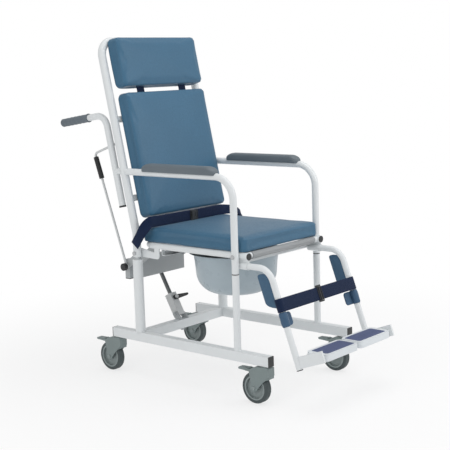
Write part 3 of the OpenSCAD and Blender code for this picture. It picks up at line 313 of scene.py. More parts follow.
for d in SIDES.values():
    paint("paint", f"rail_{d}", f"rear_post_{d}", f"front_post_{d}", f"side_frame_{d}", f"leg_{d}")
    paint("tread_plastic", f"footplate_{d}")
    paint("mat", f"foot_mat_{d}")
    for e in ENDS:
        paint("caster", f"fork_{e}_{d}", f"pedal_{e}_{d}")
        paint("hub", f"hub_{e}_{d}")
        paint("tyre", f"tyre_{e}_{d}")
paint("paint", "cross_tube", "back_frame", "seat_frame", "pan_guides")
paint("black", "rail_caps", "tube_plugs", "leg_plugs", "release_knob", "strut_lever",
      "strap_buckle", "lap_buckle")
paint("black_rubber", "post_stops", "release_grip")
# these plates are the frame's white steel; their grey is painted shade
paint("grey_paint", "strut_bracket", "strut_yoke", "release_bracket")
paint("alloy", "strut_housing")
paint("rod", "strut_rod")
paint("steel", "frame_bolts")
paint("lever", "release_lever")
paint("grip", "handle_grips")
paint("arm_foam", "armrest_pads")
paint("pan", "pan")


# ---------------------------------------------------------------- mesh helpers
def new_object(name, verts, faces, mats, smooth=True):
    mesh = bpy.data.meshes.new(name)
    mesh.from_pydata([tuple(v) for v in verts], [], faces)
    mesh.validate()
    obj = bpy.data.objects.new(name, mesh)
    bpy.context.scene.collection.objects.link(obj)
    for m in mats if isinstance(mats, (list, tuple)) else [mats]:
        mesh.materials.append(m)
    mesh.polygons.foreach_set("use_smooth", [smooth] * len(mesh.polygons))
    return obj

def closed_object(name, verts, faces, mats):
    """A closed smooth body with all its faces turned outward."""
    obj = new_object(name, verts, faces, mats)
    bm = bmesh.new()
    bm.from_mesh(obj.data)
    bmesh.ops.recalc_face_normals(bm, faces=bm.faces)
    bm.to_mesh(obj.data)
    bm.free()
    return obj


def finish_piece(obj, body, slot, *replaced):
    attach(obj, body)
    if replaced:
        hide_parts(*replaced)
    return obj


def ring_faces(rings, n, loop=False):
    """Quads between rings of n points each, and from the last ring to the first one if loop."""
    return [[k * n + i, k * n + (i + 1) % n, (k + 1) % rings * n + (i + 1) % n,
             (k + 1) % rings * n + i] for k in range(rings - (not loop)) for i in range(n)]


def end_faces(rings, n):
    """The two faces that close a row of rings."""
    return [list(range(n))[::-1], [(rings - 1) * n + i for i in range(n)]]


def slab_faces(nx, ny):
    """Quads of a slab between two grids of (nx + 1) by (ny + 1) points, one after the other."""
    m = (nx + 1) * (ny + 1)
    faces = []
    for j in range(ny):
        for i in range(nx):
            a = j * (nx + 1) + i
            quad = [a, a + 1, a + nx + 2, a + nx + 1]
            faces += [quad, [m + q for q in quad[::-1]]]
    border = [(i, 0) for i in range(nx)] + [(nx, j) for j in range(ny)]
    border += [(i, ny) for i in range(nx, 0, -1)] + [(0, j) for j in range(ny, 0, -1)]
    ids = [j * (nx + 1) + i for i, j in border]
    return faces + [[a, b, m + b, m + a] for a, b in zip(ids, ids[1:] + ids[:1])]


def catmull(points, per):
    """A smooth line through points, with per steps between two of them."""
    pts = [Vector(p) for p in points]
    pts = [2 * pts[0] - pts[1]] + pts + [2 * pts[-1] - pts[-2]]
    out = []
    for i in range(1, len(pts) - 2):
        p0, p1, p2, p3 = pts[i - 1:i + 3]
        for j in range(per):
            t = j / per
            out.append(0.5 * (2 * p1 + (p2 - p0) * t
                              + (2 * p0 - 5 * p1 + 4 * p2 - p3) * t * t
                              + (3 * p1 - p0 - 3 * p2 + p3) * t ** 3))
    out.append(pts[-2])
    return out


def ribbon(name, line, wide, width, thick, per=10, edge=0.35):
    """A strap: a closed band with rounded edges along a line, its width turning as wide says."""
    centre, across = catmull(line, per), [v.normalized() for v in catmull(wide, per)]
    a, b, c = width * MM / 2, thick * MM / 2, thick * MM * edge
    low = [(-a + c * .3, -b * .8), (-a + c, -b), (-a * .5, -b), (0, -b), (a * .5, -b),
           (a - c, -b), (a - c * .3, -b * .8)]
    section = [(-a, 0)] + low + [(a, 0)] + [(x, -y) for x, y in low[::-1]]
    n, verts, run, length = len(section), [], [], 0.0
    for k, p in enumerate(centre):
        step = centre[min(k + 1, len(centre) - 1)] - centre[max(k - 1, 0)]
        w = (across[k] - step.normalized() * across[k].dot(step.normalized())).normalized()
        up = w.cross(step).normalized()
        verts += [p + w * x + up * y for x, y in section]
        length += (p - centre[k - 1]).length if k else 0.0
        run.append(length)
    faces = ring_faces(len(centre), n) + end_faces(len(centre), n)
    obj = closed_object(name, verts, faces, M["web"])
    uv = obj.data.uv_layers.new(name="strap")
    for loop in obj.data.loops:
        k, i = divmod(loop.vertex_index, n)
        uv.data[loop.index].uv = (section[i][0] + a, run[k])
    return obj


def lathe(name, profile, where, mat, turns=64, sharp=None):
    """A closed turned body: profile rows are (radius, height) about the local Z of where."""
    verts, faces, rings = [], [], []
    for r, h in [(r * MM, h * MM) for r, h in profile]:
        if r < 1e-7:
            rings.append([len(verts)])
            verts.append(where @ Vector((0, 0, h)))
        else:
            rings.append(list(range(len(verts), len(verts) + turns)))
            angles = [2 * math.pi * i / turns for i in range(turns)]
            verts += [where @ Vector((r * math.cos(q), r * math.sin(q), h)) for q in angles]
    for a, b in zip(rings, rings[1:]):
        for i in range(turns):
            j = (i + 1) % turns
            quad = [a[i % len(a)], a[j % len(a)], b[j % len(b)], b[i % len(b)]]
            quad = [q for k, q in enumerate(quad) if q not in quad[:k]]
            if len(quad) > 2:
                faces.append(quad)
    obj = closed_object(name, verts, faces, mat)
    if sharp:
        obj.data.set_sharp_from_angle(angle=math.radians(sharp))
    return obj


def apply_all(obj):
    graph = bpy.context.evaluated_depsgraph_get()
    mesh = bpy.data.meshes.new_from_object(obj.evaluated_get(graph), depsgraph=graph)
    old = obj.data
    obj.modifiers.clear()
    obj.data = mesh
    bpy.data.meshes.remove(old)


def subdivide(obj):
    mod = obj.modifiers.new("sub", "SUBSURF")
    mod.levels = mod.render_levels = 1
    apply_all(obj)


def plate_piece(name, where, outline, holes, thick, mat, bevel, sharp=40):
    """A flat moulded part: an outline with holes, given thickness and rounded edges."""
    curve = bpy.data.curves.new(name, "CURVE")
    curve.dimensions = "2D"
    curve.fill_mode = "BOTH"
    curve.extrude = (thick / 2 - bevel) * MM
    curve.bevel_depth = bevel * MM
    curve.bevel_resolution = 2
    curve.offset = -bevel * MM
    for loop in [outline] + holes:
        line = curve.splines.new("POLY")
        line.points.add(len(loop) - 1)
        for p, (x, y) in zip(line.points, loop):
            p.co = (x * MM, y * MM, 0, 1)
        line.use_cyclic_u = True
    tmp = bpy.data.objects.new(name, curve)
    bpy.context.scene.collection.objects.link(tmp)
    graph = bpy.context.evaluated_depsgraph_get()
    solid = bpy.data.meshes.new_from_object(tmp.evaluated_get(graph), depsgraph=graph)
    bpy.data.objects.remove(tmp)
    solid.transform(where)
    obj = bpy.data.objects.new(name, solid)
    bpy.context.scene.collection.objects.link(obj)
    solid.materials.clear()
    solid.materials.append(mat)
    solid.polygons.foreach_set("use_smooth", [True] * len(solid.polygons))
    solid.set_sharp_from_angle(angle=math.radians(sharp))
    return obj


def box_loop(w, h, r, cx=0.0, cy=0.0, steps=5):
    """A rounded rectangle as a list of points."""
    out = []
    for k, (sx, sy) in enumerate(((1, 1), (-1, 1), (-1, -1), (1, -1))):
        for i in range(steps + 1):
            q = math.pi / 2 * (k + i / steps)
            out.append((cx + sx * (w / 2 - r) + r * math.cos(q),
                        cy + sy * (h / 2 - r) + r * math.sin(q)))
    return out


def arc_points(cx, cy, r, a0, a1, steps):
    """Points of an arc about (cx, cy), from angle a0 to a1 in degrees."""
    angles = [math.radians(a0 + (a1 - a0) * i / steps) for i in range(steps + 1)]
    return [(cx + r * math.cos(q), cy + r * math.sin(q)) for q in angles]


# ---------------------------------------------------------------- cushions
def rounded(a, b, r, z, pull=0.0, side_n=15, corner_n=8):
    """One level ring of a pad: sides drawn in by pull at their middle, corners of radius r."""
    out = []
    for k in range(4):
        q = math.pi / 2 * k
        long, far = ((b, a), (a, b))[k % 2]
        turn = Matrix.Rotation(q, 2)
        for i in range(side_n):
            t = -1 + 2 * i / side_n
            v = turn @ Vector((far - pull * (1 - t * t), t * (long - r)))
            out.append((v.x, v.y, z))
        for i in range(corner_n):
            w = math.pi / 2 * i / corner_n
            v = turn @ Vector((far - r + r * math.cos(w), long - r + r * math.sin(w)))
            out.append((v.x, v.y, z))
    return out


def pad_form(w, l, t, crown, round_r, draw, edge=3.0, corner=20.0, least_r=4.0):
    """The closed form of a cushion: flat back at z = 0, round edge, crowned face."""
    a, b = w / 2, l / 2
    rings = [rounded((a - edge) * k, (b - edge) * k, (corner - edge) * k, 0)
             for k in (0.2, 0.5, 0.8, 1)]
    rings.append(rounded(a, b, corner, edge))
    for k in (0.25, 0.5, 0.75):
        z = edge + (t - round_r - edge) * k
        rings.append(rounded(a, b, corner, z, draw * math.sin(math.pi * k)))
    for j in range(9):
        q = math.pi / 2 * j / 8
        cut = round_r * (1 - math.cos(q))
        rings.append(rounded(a - cut, b - cut, max(corner - cut, least_r),
                             t - round_r + round_r * math.sin(q)))
    for j in range(1, 9):
        k = 1 - j / 9
        rings.append(rounded((a - round_r) * k, (b - round_r) * k,
                             max(corner - round_r, least_r) * k, t + crown * (1 - k * k)))
    n = len(rings[0])
    verts = [v for r in rings for v in r] + [(0, 0, 0), (0, 0, t + crown)]
    last = (len(rings) - 1) * n
    faces = ring_faces(len(rings), n)
    faces += [[i, len(verts) - 2, (i + 1) % n] for i in range(n)]
    faces += [[last + i, last + (i + 1) % n, len(verts) - 1] for i in range(n)]
    return [Vector(v) * MM for v in verts], faces


def read_points(mesh):
    co = np.empty(len(mesh.vertices) * 3)
    mesh.vertices.foreach_get("co", co)
    return co.reshape(-1, 3)


def puff(obj, voxel, cap, hold, pressure=4.0, frames=20):
    """Blows the pad up a little with Cloth and moves no point further than cap."""
    mod = obj.modifiers.new("remesh", "REMESH")
    mod.mode, mod.voxel_size, mod.use_smooth_shade = "VOXEL", voxel, True
    apply_all(obj)
    mesh = obj.data
    before = read_points(mesh)
    group = obj.vertex_groups.new(name="hold")
    group.add([int(i) for i in np.nonzero(hold(before))[0]], 1.0, "REPLACE")
    mod = obj.modifiers.new("cloth", "CLOTH")
    c = mod.settings
    c.quality, c.mass, c.air_damping = 5, 0.3, 2.0
    c.tension_stiffness = c.compression_stiffness = 18.0
    c.shear_stiffness, c.bending_stiffness = 8.0, 1.2
    c.use_pressure, c.uniform_pressure_force = True, pressure
    c.effector_weights.gravity = 0.0
    c.vertex_group_mass = "hold"
    mod.collision_settings.use_collision = False
    scene = bpy.context.scene
    scene.frame_start, scene.frame_end = 1, frames
    mod.point_cache.frame_start, mod.point_cache.frame_end = 1, frames
    for f in range(1, frames + 1):
        scene.frame_set(f)
    graph = bpy.context.evaluated_depsgraph_get()
    move = read_points(obj.evaluated_get(graph).to_mesh()) - before
    obj.evaluated_get(graph).to_mesh_clear()
    obj.modifiers.clear()
    far = np.linalg.norm(move, axis=1, keepdims=True)
    move *= np.minimum(1.0, cap / np.maximum(far, 1e-9))
    mesh.vertices.foreach_set("co", (before + move).ravel())
    mesh.update()
    scene.frame_set(1)


def relax(obj):
    """Evens out the steps that the voxels leave."""
    bm = bmesh.new()
    bm.from_mesh(obj.data)
    bmesh.ops.smooth_vert(bm, verts=bm.verts, factor=0.5, use_axis_x=True, use_axis_y=True,
                          use_axis_z=True)
    bm.to_mesh(obj.data)
    bm.free()


def bell(distance, width):
    return np.exp(-(distance / width) ** 2)


VOXEL, PUFF_CAP, HELD_BELOW = 5.0 * MM, 3.0 * MM, 1.5 * MM
SEAM_Z, SEAM_W, SEAM_REACH = 7 * MM, 0.9 * MM, 14 * MM
WELT_DOWN, WELT_W, WELT_REACH, WELT_OUT = 8 * MM, 2.4 * MM, 13 * MM, 0.9 * MM
PUCKER, PUCKER_REACH, PUCKER_WAVES = 0.9 * MM, 38 * MM, 9
DENTS, DENT_FROM_Z = 7, 12 * MM
UNDER_BELOW = 0.4 * MM                          # faces of the flat back, which take the near-black material


def make_cushion(name, node, body, where, size, seed):
    """One pad: blown up, then given a seam near its back, a welt round its face, and dents."""
    w, l, t, crown = size
    shrink, round_r, draw = 1.0, 10.0, 4.0
    verts, faces = pad_form(w - 2 * shrink, l - 2 * shrink, t - shrink, crown - shrink, round_r,
                            draw)
    obj = closed_object(name, verts, faces, [M["vinyl"], M["under"]])
    puff(obj, VOXEL, PUFF_CAP, lambda p: p[:, 2] < HELD_BELOW)
    relax(obj)
    subdivide(obj)
    mesh = obj.data
    co = read_points(mesh)
    a, b, top = w / 2 * MM, l / 2 * MM, t * MM
    # how far a point is inside the outline
    side = np.minimum(a - np.abs(co[:, 0]), b - np.abs(co[:, 1]))
    # the seam's mask; the vinyl sinks it as a groove and darkens it as painted shade
    seam = bell(co[:, 2] - SEAM_Z, SEAM_W) * (side < SEAM_REACH)
    # the welt where the face panel turns over the side panel
    welt = bell(co[:, 2] - (top - WELT_DOWN), WELT_W) * (side < WELT_REACH)
    out = np.stack([co[:, 0] / a, co[:, 1] / b, np.zeros(len(co))], 1)
    out = np.where(np.abs(out) > 0.9, np.sign(out), 0.0)
    norm = np.maximum(np.linalg.norm(out, axis=1, keepdims=True), 1e-6)
    co += out / norm * (welt * WELT_OUT)[:, None]
    # puckers that run in from the corners, and shallow dents over the face
    rng = np.random.default_rng(seed)
    corner = np.stack([a - np.abs(co[:, 0]), b - np.abs(co[:, 1])], 1)
    near = bell(np.linalg.norm(corner, axis=1), PUCKER_REACH)
    angle = np.arctan2(corner[:, 1], corner[:, 0])
    ripple = np.sin(angle * PUCKER_WAVES + rng.uniform(0, 6)) * near * PUCKER
    dent = np.zeros(len(co))
    for _ in range(DENTS):
        px, py = rng.uniform(-0.75, 0.75, 2) * (a, b)
        s = rng.uniform(45, 90) * MM
        square = (co[:, 0] - px) ** 2 + (co[:, 1] - py) ** 2
        dent += rng.uniform(-0.9, 0.6) * MM * np.exp(-(square / s ** 2))
    face = np.clip((co[:, 2] - DENT_FROM_Z) / (top - DENT_FROM_Z), 0, 1)
    co[:, 2] += (ripple + dent) * face
    co[:, 2] = np.maximum(co[:, 2], 0.0)
    mesh.vertices.foreach_set("co", co.ravel())
    attr = mesh.attributes.new("seam", "FLOAT", "POINT")
    attr.data.foreach_set("value", seam.astype(np.float32))
    # faces of the flat back take the near-black material
    for p in mesh.polygons:
        p.material_index = 1 if p.center.z < UNDER_BELOW and p.normal.z < -0.8 else 0
        p.use_smooth = True
    mesh.transform(where)
    mesh.update()
    finish_piece(obj, body, "seat_vinyl", node)


LEAN = math.radians(12)
PAD_W, SEAT_LONG, BACK_LONG, HEAD_LONG, PAD_GAP = 436, 494, 470, 190, 16
SEAT_T, BACK_T = 50, 52                         # thickness of the pads at their edges
SEAT_CROWN, BACK_CROWN = 9, 8                   # how far their middles stand above that
SEAT_MID_Y, PAD_LOW_Z = -13, 590                # seat pad's middle, back pad's lower edge
BACK_LOW = (PAD_LOW_Z - PIVOT_Z) / math.cos(LEAN)
HEAD_LOW = BACK_LOW + BACK_LONG + PAD_GAP
BACK = put(0, PIVOT_Y, PIVOT_Z) @ Matrix.Rotation(-LEAN, 4, "X")
FIT = 0.4                                       # a pad's distance from its tubes


def back_at(along):
    """Where a pad's flat back lies on the front of the leaning frame."""
    return BACK @ shift(0, -(BACK_TUBE_R + FIT), along) @ FACE_FRONT


make_cushion("seat_pad", "seat_cushion", "tilt_frame",
             put(0, SEAT_MID_Y, SEAT_TUBE_Z + SEAT_TUBE_R + FIT),
             (PAD_W, SEAT_LONG, SEAT_T, SEAT_CROWN), seed=3)
make_cushion("back_pad", "back_cushion", "tilt_frame", back_at(BACK_LOW + BACK_LONG / 2),
             (PAD_W, BACK_LONG, BACK_T, BACK_CROWN), seed=5)
make_cushion("head_pad", "head_cushion", "tilt_frame", back_at(HEAD_LOW + HEAD_LONG / 2),
             (PAD_W, HEAD_LONG, BACK_T, BACK_CROWN), seed=8)


# ---------------------------------------------------------------- straps
WEB_T, STRAP_W, HEAD_STRAP_W = 2.6, 46, 38
BELT_X, BELT_Y, BELT_Z, BELT_W = 257.0, 178.0, 585.7, 40.0
# place along X in BELT_X, place forward and down in BELT_W, and the direction of its width
BELT = [
    (-1, -1.3, 2.11, 0, 0.81, 0.59), (-1, -0.85, 1.51, 0, 0.81, 0.59),
    (-0.985, -0.5, 0.95, -0.05, 0.76, 0.65), (-0.945, -0.25, 0.42, -0.3, 0.58, 0.76),
    (-0.87, -0.075, 0, -0.38, 0.25, 0.89), (-0.76, 0, -0.02, -0.08, 0.05, 0.99),
    (-0.15, 0, 0, 0, 0, 1), (0.25, 0, 0, 0, 0, 1), (0.584, 0, 0, 0, 0.12, 0.99),
    (0.763, 0.2, 0.04, 0.1, 0.5, 0.86), (0.903, 0.7, 0.2, 0.2, 0.7, 0.68),
    (0.984, 0.9, 0.79, 0.05, 0.55, 0.83), (1, 0.2, 1.39, 0, 0.5, 0.87),
    (1, -0.925, 2.04, 0, 0.5, 0.87)]


def lap_belt():
    line = [at(x * BELT_X, BELT_Y - y * BELT_W, BELT_Z - z * BELT_W) for x, y, z, *_ in BELT]
    wide = [Vector(q[3:6]) for q in BELT]
    finish_piece(ribbon("lap_web", line, wide, BELT_W, WEB_T), "tilt_frame", "navy_web",
                 "lap_belt")


def belt_tail():
    """The free end of the lap belt, doubled back over it from the buckle."""
    xs = (0.085, 0.14, 0.24, 0.34, 0.43, 0.475)
    rise = (3.2, 3.6, 3.5, 3.9, 4.6, 5.6)
    line = [at(x * BELT_X, BELT_Y - out, BELT_Z + 0.4 * k)
            for k, (x, out) in enumerate(zip(xs, rise))]
    wide = [Vector((0, 0.02 * k, 1)) for k in range(len(xs))]
    finish_piece(ribbon("lap_web_tail", line, wide, BELT_W - 2, 2.0), "tilt_frame", "navy_web",
                 "lap_belt")


def head_strap(side):
    """A short web in the gap between back pad and head pad."""
    x, deep = side * 0.52 * PAD_W / 2, BACK_TUBE_R + BACK_T / 2
    sunk, step = 6, 7
    low, high = BACK_LOW + BACK_LONG - sunk, HEAD_LOW + sunk
    line = [BACK @ Vector((x * MM, -deep * MM, z * MM))
            for z in (low, low + step, high - step, high)]
    obj = ribbon(f"head_web_{SIDES[side]}", line, [Vector((1, 0, 0))] * 4, HEAD_STRAP_W, WEB_T,
                 4)
    finish_piece(obj, "tilt_frame", "navy_web", "head_straps")


LEG_LEAN = math.radians(20)
LEG_TOP_Y, LEG_TOP_Z = -359, 466
STRAP_Z, WRAP_Z = 346, 276
STRAP_R = LEG_TUBE_R + 0.3 + 1.5                # the calf strap's middle from a tube's axis


def leg_y(z):
    return LEG_TOP_Y - (LEG_TOP_Z - z) * math.tan(LEG_LEAN)


def on_leg(x, z):
    """Frame on a leg tube at height z: local Z up along the tube, local Y behind it."""
    return put(x, leg_y(z), z) @ Matrix.Rotation(-LEG_LEAN, 4, "X")


def calf_strap():
    where = on_leg(0, STRAP_Z)
    r, x = STRAP_R, LEG_X
    half = [(x + 7, 11), (x + 9.5, 9), (x + 12, 5), (x + r, 0), (x + 11, -8), (x + 5, -r + 1),
            (x - 6, -r), (x - 60, -r), (80, -r)]
    path = [(-a, b) for a, b in half] + [(0, -r)] + half[::-1]
    line = [where @ Vector((a * MM, b * MM, 0)) for a, b in path]
    up = where.to_3x3() @ Vector((0, 0, 1))
    obj = ribbon("calf_web", line, [up] * len(line), STRAP_W, WEB_T, 6)
    finish_piece(obj, "leg_rest", "navy_web", "calf_strap")


lap_belt()
belt_tail()
for s in SIDES:
    head_strap(s)
calf_strap()


# ---------------------------------------------------------------- calf pads
def calf_pad(side):
    """A flat padded flap behind a leg tube, thin at its rim and rounded at its free corners."""
    low, high, wide, t, rim = 334, 446, 62, 12, 1.2
    start, round_from, round_by = LEG_TUBE_R + 0.6, 0.76, 26
    n_u, n_v = 26, 44

    def outline(u, v):
        z = low + (high - low) * v
        width = wide - start
        k = abs(2 * v - 1)
        if k > round_from:
            q = (k - round_from) / (1 - round_from)
            width -= round_by * (1 - math.sqrt(max(0.0, 1 - q * q)))
        return leg_y(z) + start + width * u, z

    verts = []
    for face in (-1, 1):
        for j in range(n_v + 1):
            for i in range(n_u + 1):
                u, v = i / n_u, j / n_v
                fat = (1 - abs(2 * u - 1) ** 3.2) * (1 - abs(2 * v - 1) ** 5)
                half = rim + (t / 2 - rim) * max(0.0, fat) ** 0.5
                verts.append(at(side * LEG_X + face * half, *outline(u, v)))
    obj = closed_object(f"calf_flap_{SIDES[side]}", verts, slab_faces(n_u, n_v), M["calf"])
    subdivide(obj)
    finish_piece(obj, "leg_rest", "calf_vinyl", "calf_pads")


def calf_wrap(side):
    """The short padded tube round a leg tube that carries a calf pad's lower end."""
    where = on_leg(side * LEG_X, WRAP_Z)
    rows, turns, long = 22, 56, 50.5
    inner_r, outer_r = LEG_TUBE_R + 0.35, 14.0
    verts = []
    for wall, order in enumerate((range(rows + 1), range(rows, -1, -1))):
        for v in [j / rows for j in order]:
            for i in range(turns):
                q = 2 * math.pi * i / turns
                wave = math.sin(5 * q + 9 * v)
                bulge = 1.0 * math.sin(math.pi * v) + 0.35 * wave * math.sin(math.pi * v)
                r = inner_r if wall else outer_r + bulge - 1.6 * abs(2 * v - 1) ** 8
                x, y = r * math.cos(q), r * math.sin(q)
                verts.append(where @ Vector((x * MM, y * MM, long * v * MM)))
    faces = ring_faces(2 * rows + 2, turns, True)
    obj = closed_object(f"calf_wrap_{SIDES[side]}", verts, faces, M["sleeve"])
    finish_piece(obj, "leg_rest", "calf_vinyl", "calf_pads")


def calf_tab(side):
    """A padded flap that runs inward from a wrap, its corners rounded."""
    inward, behind, up = 27, 9.5, 25
    wide, high, corner, thick, bevel = 46, 47, 11, 7.0, 3.0
    where = on_leg(side * LEG_X, WRAP_Z) @ shift(-side * inward, behind, up) @ FACE_FRONT
    obj = plate_piece(f"calf_tab_{SIDES[side]}", where, box_loop(wide, high, corner, steps=8), [],
                      thick, M["sleeve"], bevel)
    finish_piece(obj, "leg_rest", "calf_vinyl", "calf_pads")


# ---------------------------------------------------------------- armrest pads
def arm_pad(side):
    """A moulded foam pad on an arm tube: domed across, both ends rounded in width and height."""
    mid, half_l, half_w, low, high = 14, 175, 22, 774.5, 804.5
    nose_l, ramp_l = 21.0, 38.0         # lengths over which the width and the height run out
    rows, n = 90, 44
    verts = []
    for k in range(rows + 1):
        s = math.sin(math.pi * (k / rows - 0.5))
        left = 1 - abs(s)
        e = min(1.0, left * half_l / nose_l)
        nose = math.sqrt(max(0.0, 1 - (1 - e) ** 2))
        w = half_w * (0.16 + 0.84 * nose)
        ramp = min(1.0, left * half_l / ramp_l)
        h = (high - low) * (0.42 + 0.58 * math.sin(math.pi / 2 * ramp) ** 0.8)
        waist = 0.5 * math.cos(2 * math.pi * s)
        for i in range(n):
            q = 2 * math.pi * i / n
            c, d = math.cos(q), math.sin(q)
            x = (w + waist) * math.copysign(abs(c) ** (0.62 if d >= 0 else 0.40), c)
            rise = 0.50 + 0.50 * d ** 0.74 if d >= 0 else 0.50 * (1 - abs(d) ** 0.30)
            verts.append(at(side * TRACK_X + x, mid + half_l * s, low + h * rise))
    faces = ring_faces(rows + 1, n) + end_faces(rows + 1, n)
    obj = closed_object(f"arm_pad_{SIDES[side]}", verts, faces, M["arm_foam"])
    finish_piece(obj, "tilt_frame", "arm_foam", "armrest_pads")


# ---------------------------------------------------------------- handles
HANDLE_Z, HANDLE_OUT, HANDLE_L, HANDLE_DROP = 978, 44, 236, math.radians(8)


def on_handle(side):
    """The end of a push handle: local Z runs out along it."""
    y = PIVOT_Y + (HANDLE_Z - PIVOT_Z) * math.tan(LEAN) + HANDLE_OUT / math.cos(LEAN)
    turn = Matrix.Rotation(-math.pi / 2 - HANDLE_DROP, 4, "X")
    return put(side * TRACK_X, y, HANDLE_Z) @ turn @ shift(0, 0, HANDLE_L)


def handle_grip(side):
    """A rubber sleeve: flange at its inner end, shallow waves under the fingers, domed end."""
    rows = [(12.8, -147), (15.6, -147), (16.3, -146.4), (16.6, -145), (16.6, -142.8),
            (16.2, -141.2), (15.5, -139)]
    start, long, steps, pitch, mid_r = -134, 130, 45, 22, 15.1
    for i in range(steps + 1):
        h = start + long * i / steps
        swell = 0.42 * math.sin((h + 120) * 2 * math.pi / pitch) if -122 < h < -14 else 0.0
        rows.append((mid_r + swell + 0.35 * math.sin(math.pi * (h - start) / long), h))
    rows += [(15.5, -2), (15.4, 0.6), (14.6, 2.6), (12.6, 4.2), (9, 4.9), (4, 5), (0, 5)]
    obj = lathe(f"hand_grip_{SIDES[side]}", rows, on_handle(side), M["grip"], 56)
    finish_piece(obj, "tilt_frame", "grip_rubber", "handle_grips")


for make in (calf_pad, calf_wrap, calf_tab, arm_pad, handle_grip):
    for s in SIDES:
        make(s)


# ---------------------------------------------------------------- commode pan
def pan_piece():
    """A drawn plastic pan: round bottom, drafted wall, flat flange with a rolled lip."""
    mid_y, low_z = -38, 315
    depth, draft, big, wall, flat, mouth, rim = 155, 8, 80, 3, 70, 159, 175

    def bottom_arc(r):
        return arc_points(flat, big, r, -90, -draft, 18)

    outer = [(0, 1.2), (30, 1.2), (34, 0.2), (60, 0.0)] + bottom_arc(big)
    outer += [(mouth - 6, depth - 40), (mouth - 2.4, depth - 12), (mouth - 1, depth - 5),
              (mouth + 0.6, depth - 3.3), (mouth + 3, depth - 3)]
    lip = [(rim - 5, depth - 3), (rim - 2, depth - 3), (rim - 0.6, depth - 2.5),
           (rim, depth - 1.5), (rim - 0.5, depth - 0.4), (rim - 1.8, depth),
           (rim - 3.4, depth - 0.25), (rim - 5, depth - 0.6)]
    inner = [(mouth + 3, depth - 0.6), (mouth, depth - 0.9), (mouth - 2.4, depth - 2.4),
             (mouth - 4, depth - 6), (mouth - 5.6, depth - 14), (mouth - 9.2, depth - 40)]
    inner += bottom_arc(big - wall)[::-1]
    inner += [(60, wall), (34, wall), (30, wall + 1.0), (0, wall + 1.0)]
    obj = lathe("pan_bowl", outer + lip + inner, put(0, mid_y, low_z), M["pan"], 112)
    finish_piece(obj, "pan", "pan_plastic", "pan")


pan_piece()


# ---------------------------------------------------------------- footplates
FOOT_Y, FOOT_TOP = -535.7, 199.2


def foot_mat(side):
    """A ribbed rubber mat, dished along its length, in the recess of a footplate."""
    x0, x1, y0, y1, corner = 17.0, 179.5, -34.0, 34.0, 9
    above, below, dish_d = 1.0, 2.9, 0.6
    rim_d, rim_w, rib_d, rib_from, pitch = 1.1, 3.0, 0.55, 5.5, 6.5
    cx, cy = (x0 + x1) / 2, (y0 + y1) / 2
    core_x, core_y = (x1 - x0) / 2 - corner, (y1 - y0) / 2 - corner
    nx, ny = 150, 30

    def inside(u, v):
        """A point of the unit square on the mat, with its corners drawn in to their radius."""
        x, y = x0 + (x1 - x0) * u, y0 + (y1 - y0) * v
        dx, dy = abs(x - cx) - core_x, abs(y - cy) - core_y
        if dx > 0 and dy > 0:
            k = max(dx, dy) / math.hypot(dx, dy)
            x = cx + math.copysign(core_x + dx * k, x - cx)
            y = cy + math.copysign(core_y + dy * k, y - cy)
        return x, y

    verts = []
    for j in range(ny + 1):
        for i in range(nx + 1):
            u, v = i / nx, j / ny
            x, y = inside(u, v)
            edge = min(u * (x1 - x0), (1 - u) * (x1 - x0), v * (y1 - y0), (1 - v) * (y1 - y0))
            drop = rim_d * (1 - min(1.0, edge / rim_w) ** 0.5)
            rib = rib_d * max(0.0, math.cos(2 * math.pi * x / pitch)) ** 0.7
            dish = 0.5 * math.cos(math.pi * 2 * (u - 0.5)) - 0.5
            z = FOOT_TOP + above - drop - (rib if edge >= rib_from else 0.0) + dish_d * dish
            verts.append(at(side * x, FOOT_Y + y, z))
    verts += [Vector((v.x, v.y, (FOOT_TOP - below) * MM)) for v in verts]
    name = SIDES[side]
    obj = closed_object(f"tread_mat_{name}", verts, slab_faces(nx, ny), M["mat"])
    finish_piece(obj, f"footplate_{name}", "mat_rubber", f"foot_mat_{name}")


for s in SIDES:
    foot_mat(s)


# ---------------------------------------------------------------- small fittings
def lap_fastener():
    """A side-release buckle on the belt: the shell, and the male end with its two prongs."""
    mid_x, out = 0.04 * BELT_X, 3.4
    flat = put(mid_x, BELT_Y - out, BELT_Z) @ FACE_FRONT
    slot_a, slot_b = box_loop(4.2, 30, 1.5, -15.2, 0), box_loop(3.8, 29, 1.4, 15, 0)
    male = [(2, -15), (5, -18.6), (18, -18.6), (20, -16.5), (20, 16.5), (18, 18.6), (5, 18.6),
            (2, 15), (2, 8), (6.5, 8), (6.5, -8), (2, -8)]
    parts = (plate_piece("buckle_shell", flat, box_loop(24, 39, 3.5, -8, 0), [slot_a], 6.2,
                         M["black"], 1.1),
             plate_piece("buckle_male", flat, male, [slot_b], 5.0, M["black"], 0.9))
    for obj in parts:
        finish_piece(obj, "tilt_frame", "black_plastic", "lap_buckle")


def strap_slider():
    """The ladder buckle in the middle of the calf strap: a frame with three bars."""
    where = on_leg(0, STRAP_Z) @ shift(0, -STRAP_R, 0) @ FACE_FRONT
    wide, layer_z, end_y, hole_x = 22, 3.1, 27.2, 5.6
    outer, end_bar = box_loop(wide, 60, 3), box_loop(wide, 5.4, 1.4)
    holes = [box_loop(5.2, 48, 1.4, x, 0) for x in (-hole_x, hole_x)]
    for name, y, z, outline, cut, thick, bevel in (
            ("front", 0, layer_z, outer, holes, 2.8, 0.8),
            ("rear", 0, -layer_z, outer, [], 2.4, 0.7),
            ("end_low", -end_y, 0, end_bar, [], 8.4, 0.7),
            ("end_high", end_y, 0, end_bar, [], 8.4, 0.7)):
        obj = plate_piece(f"slider_{name}", where @ shift(0, y, z), outline, cut, thick,
                          M["black"], bevel)
        finish_piece(obj, "leg_rest", "black_plastic", "strap_buckle")


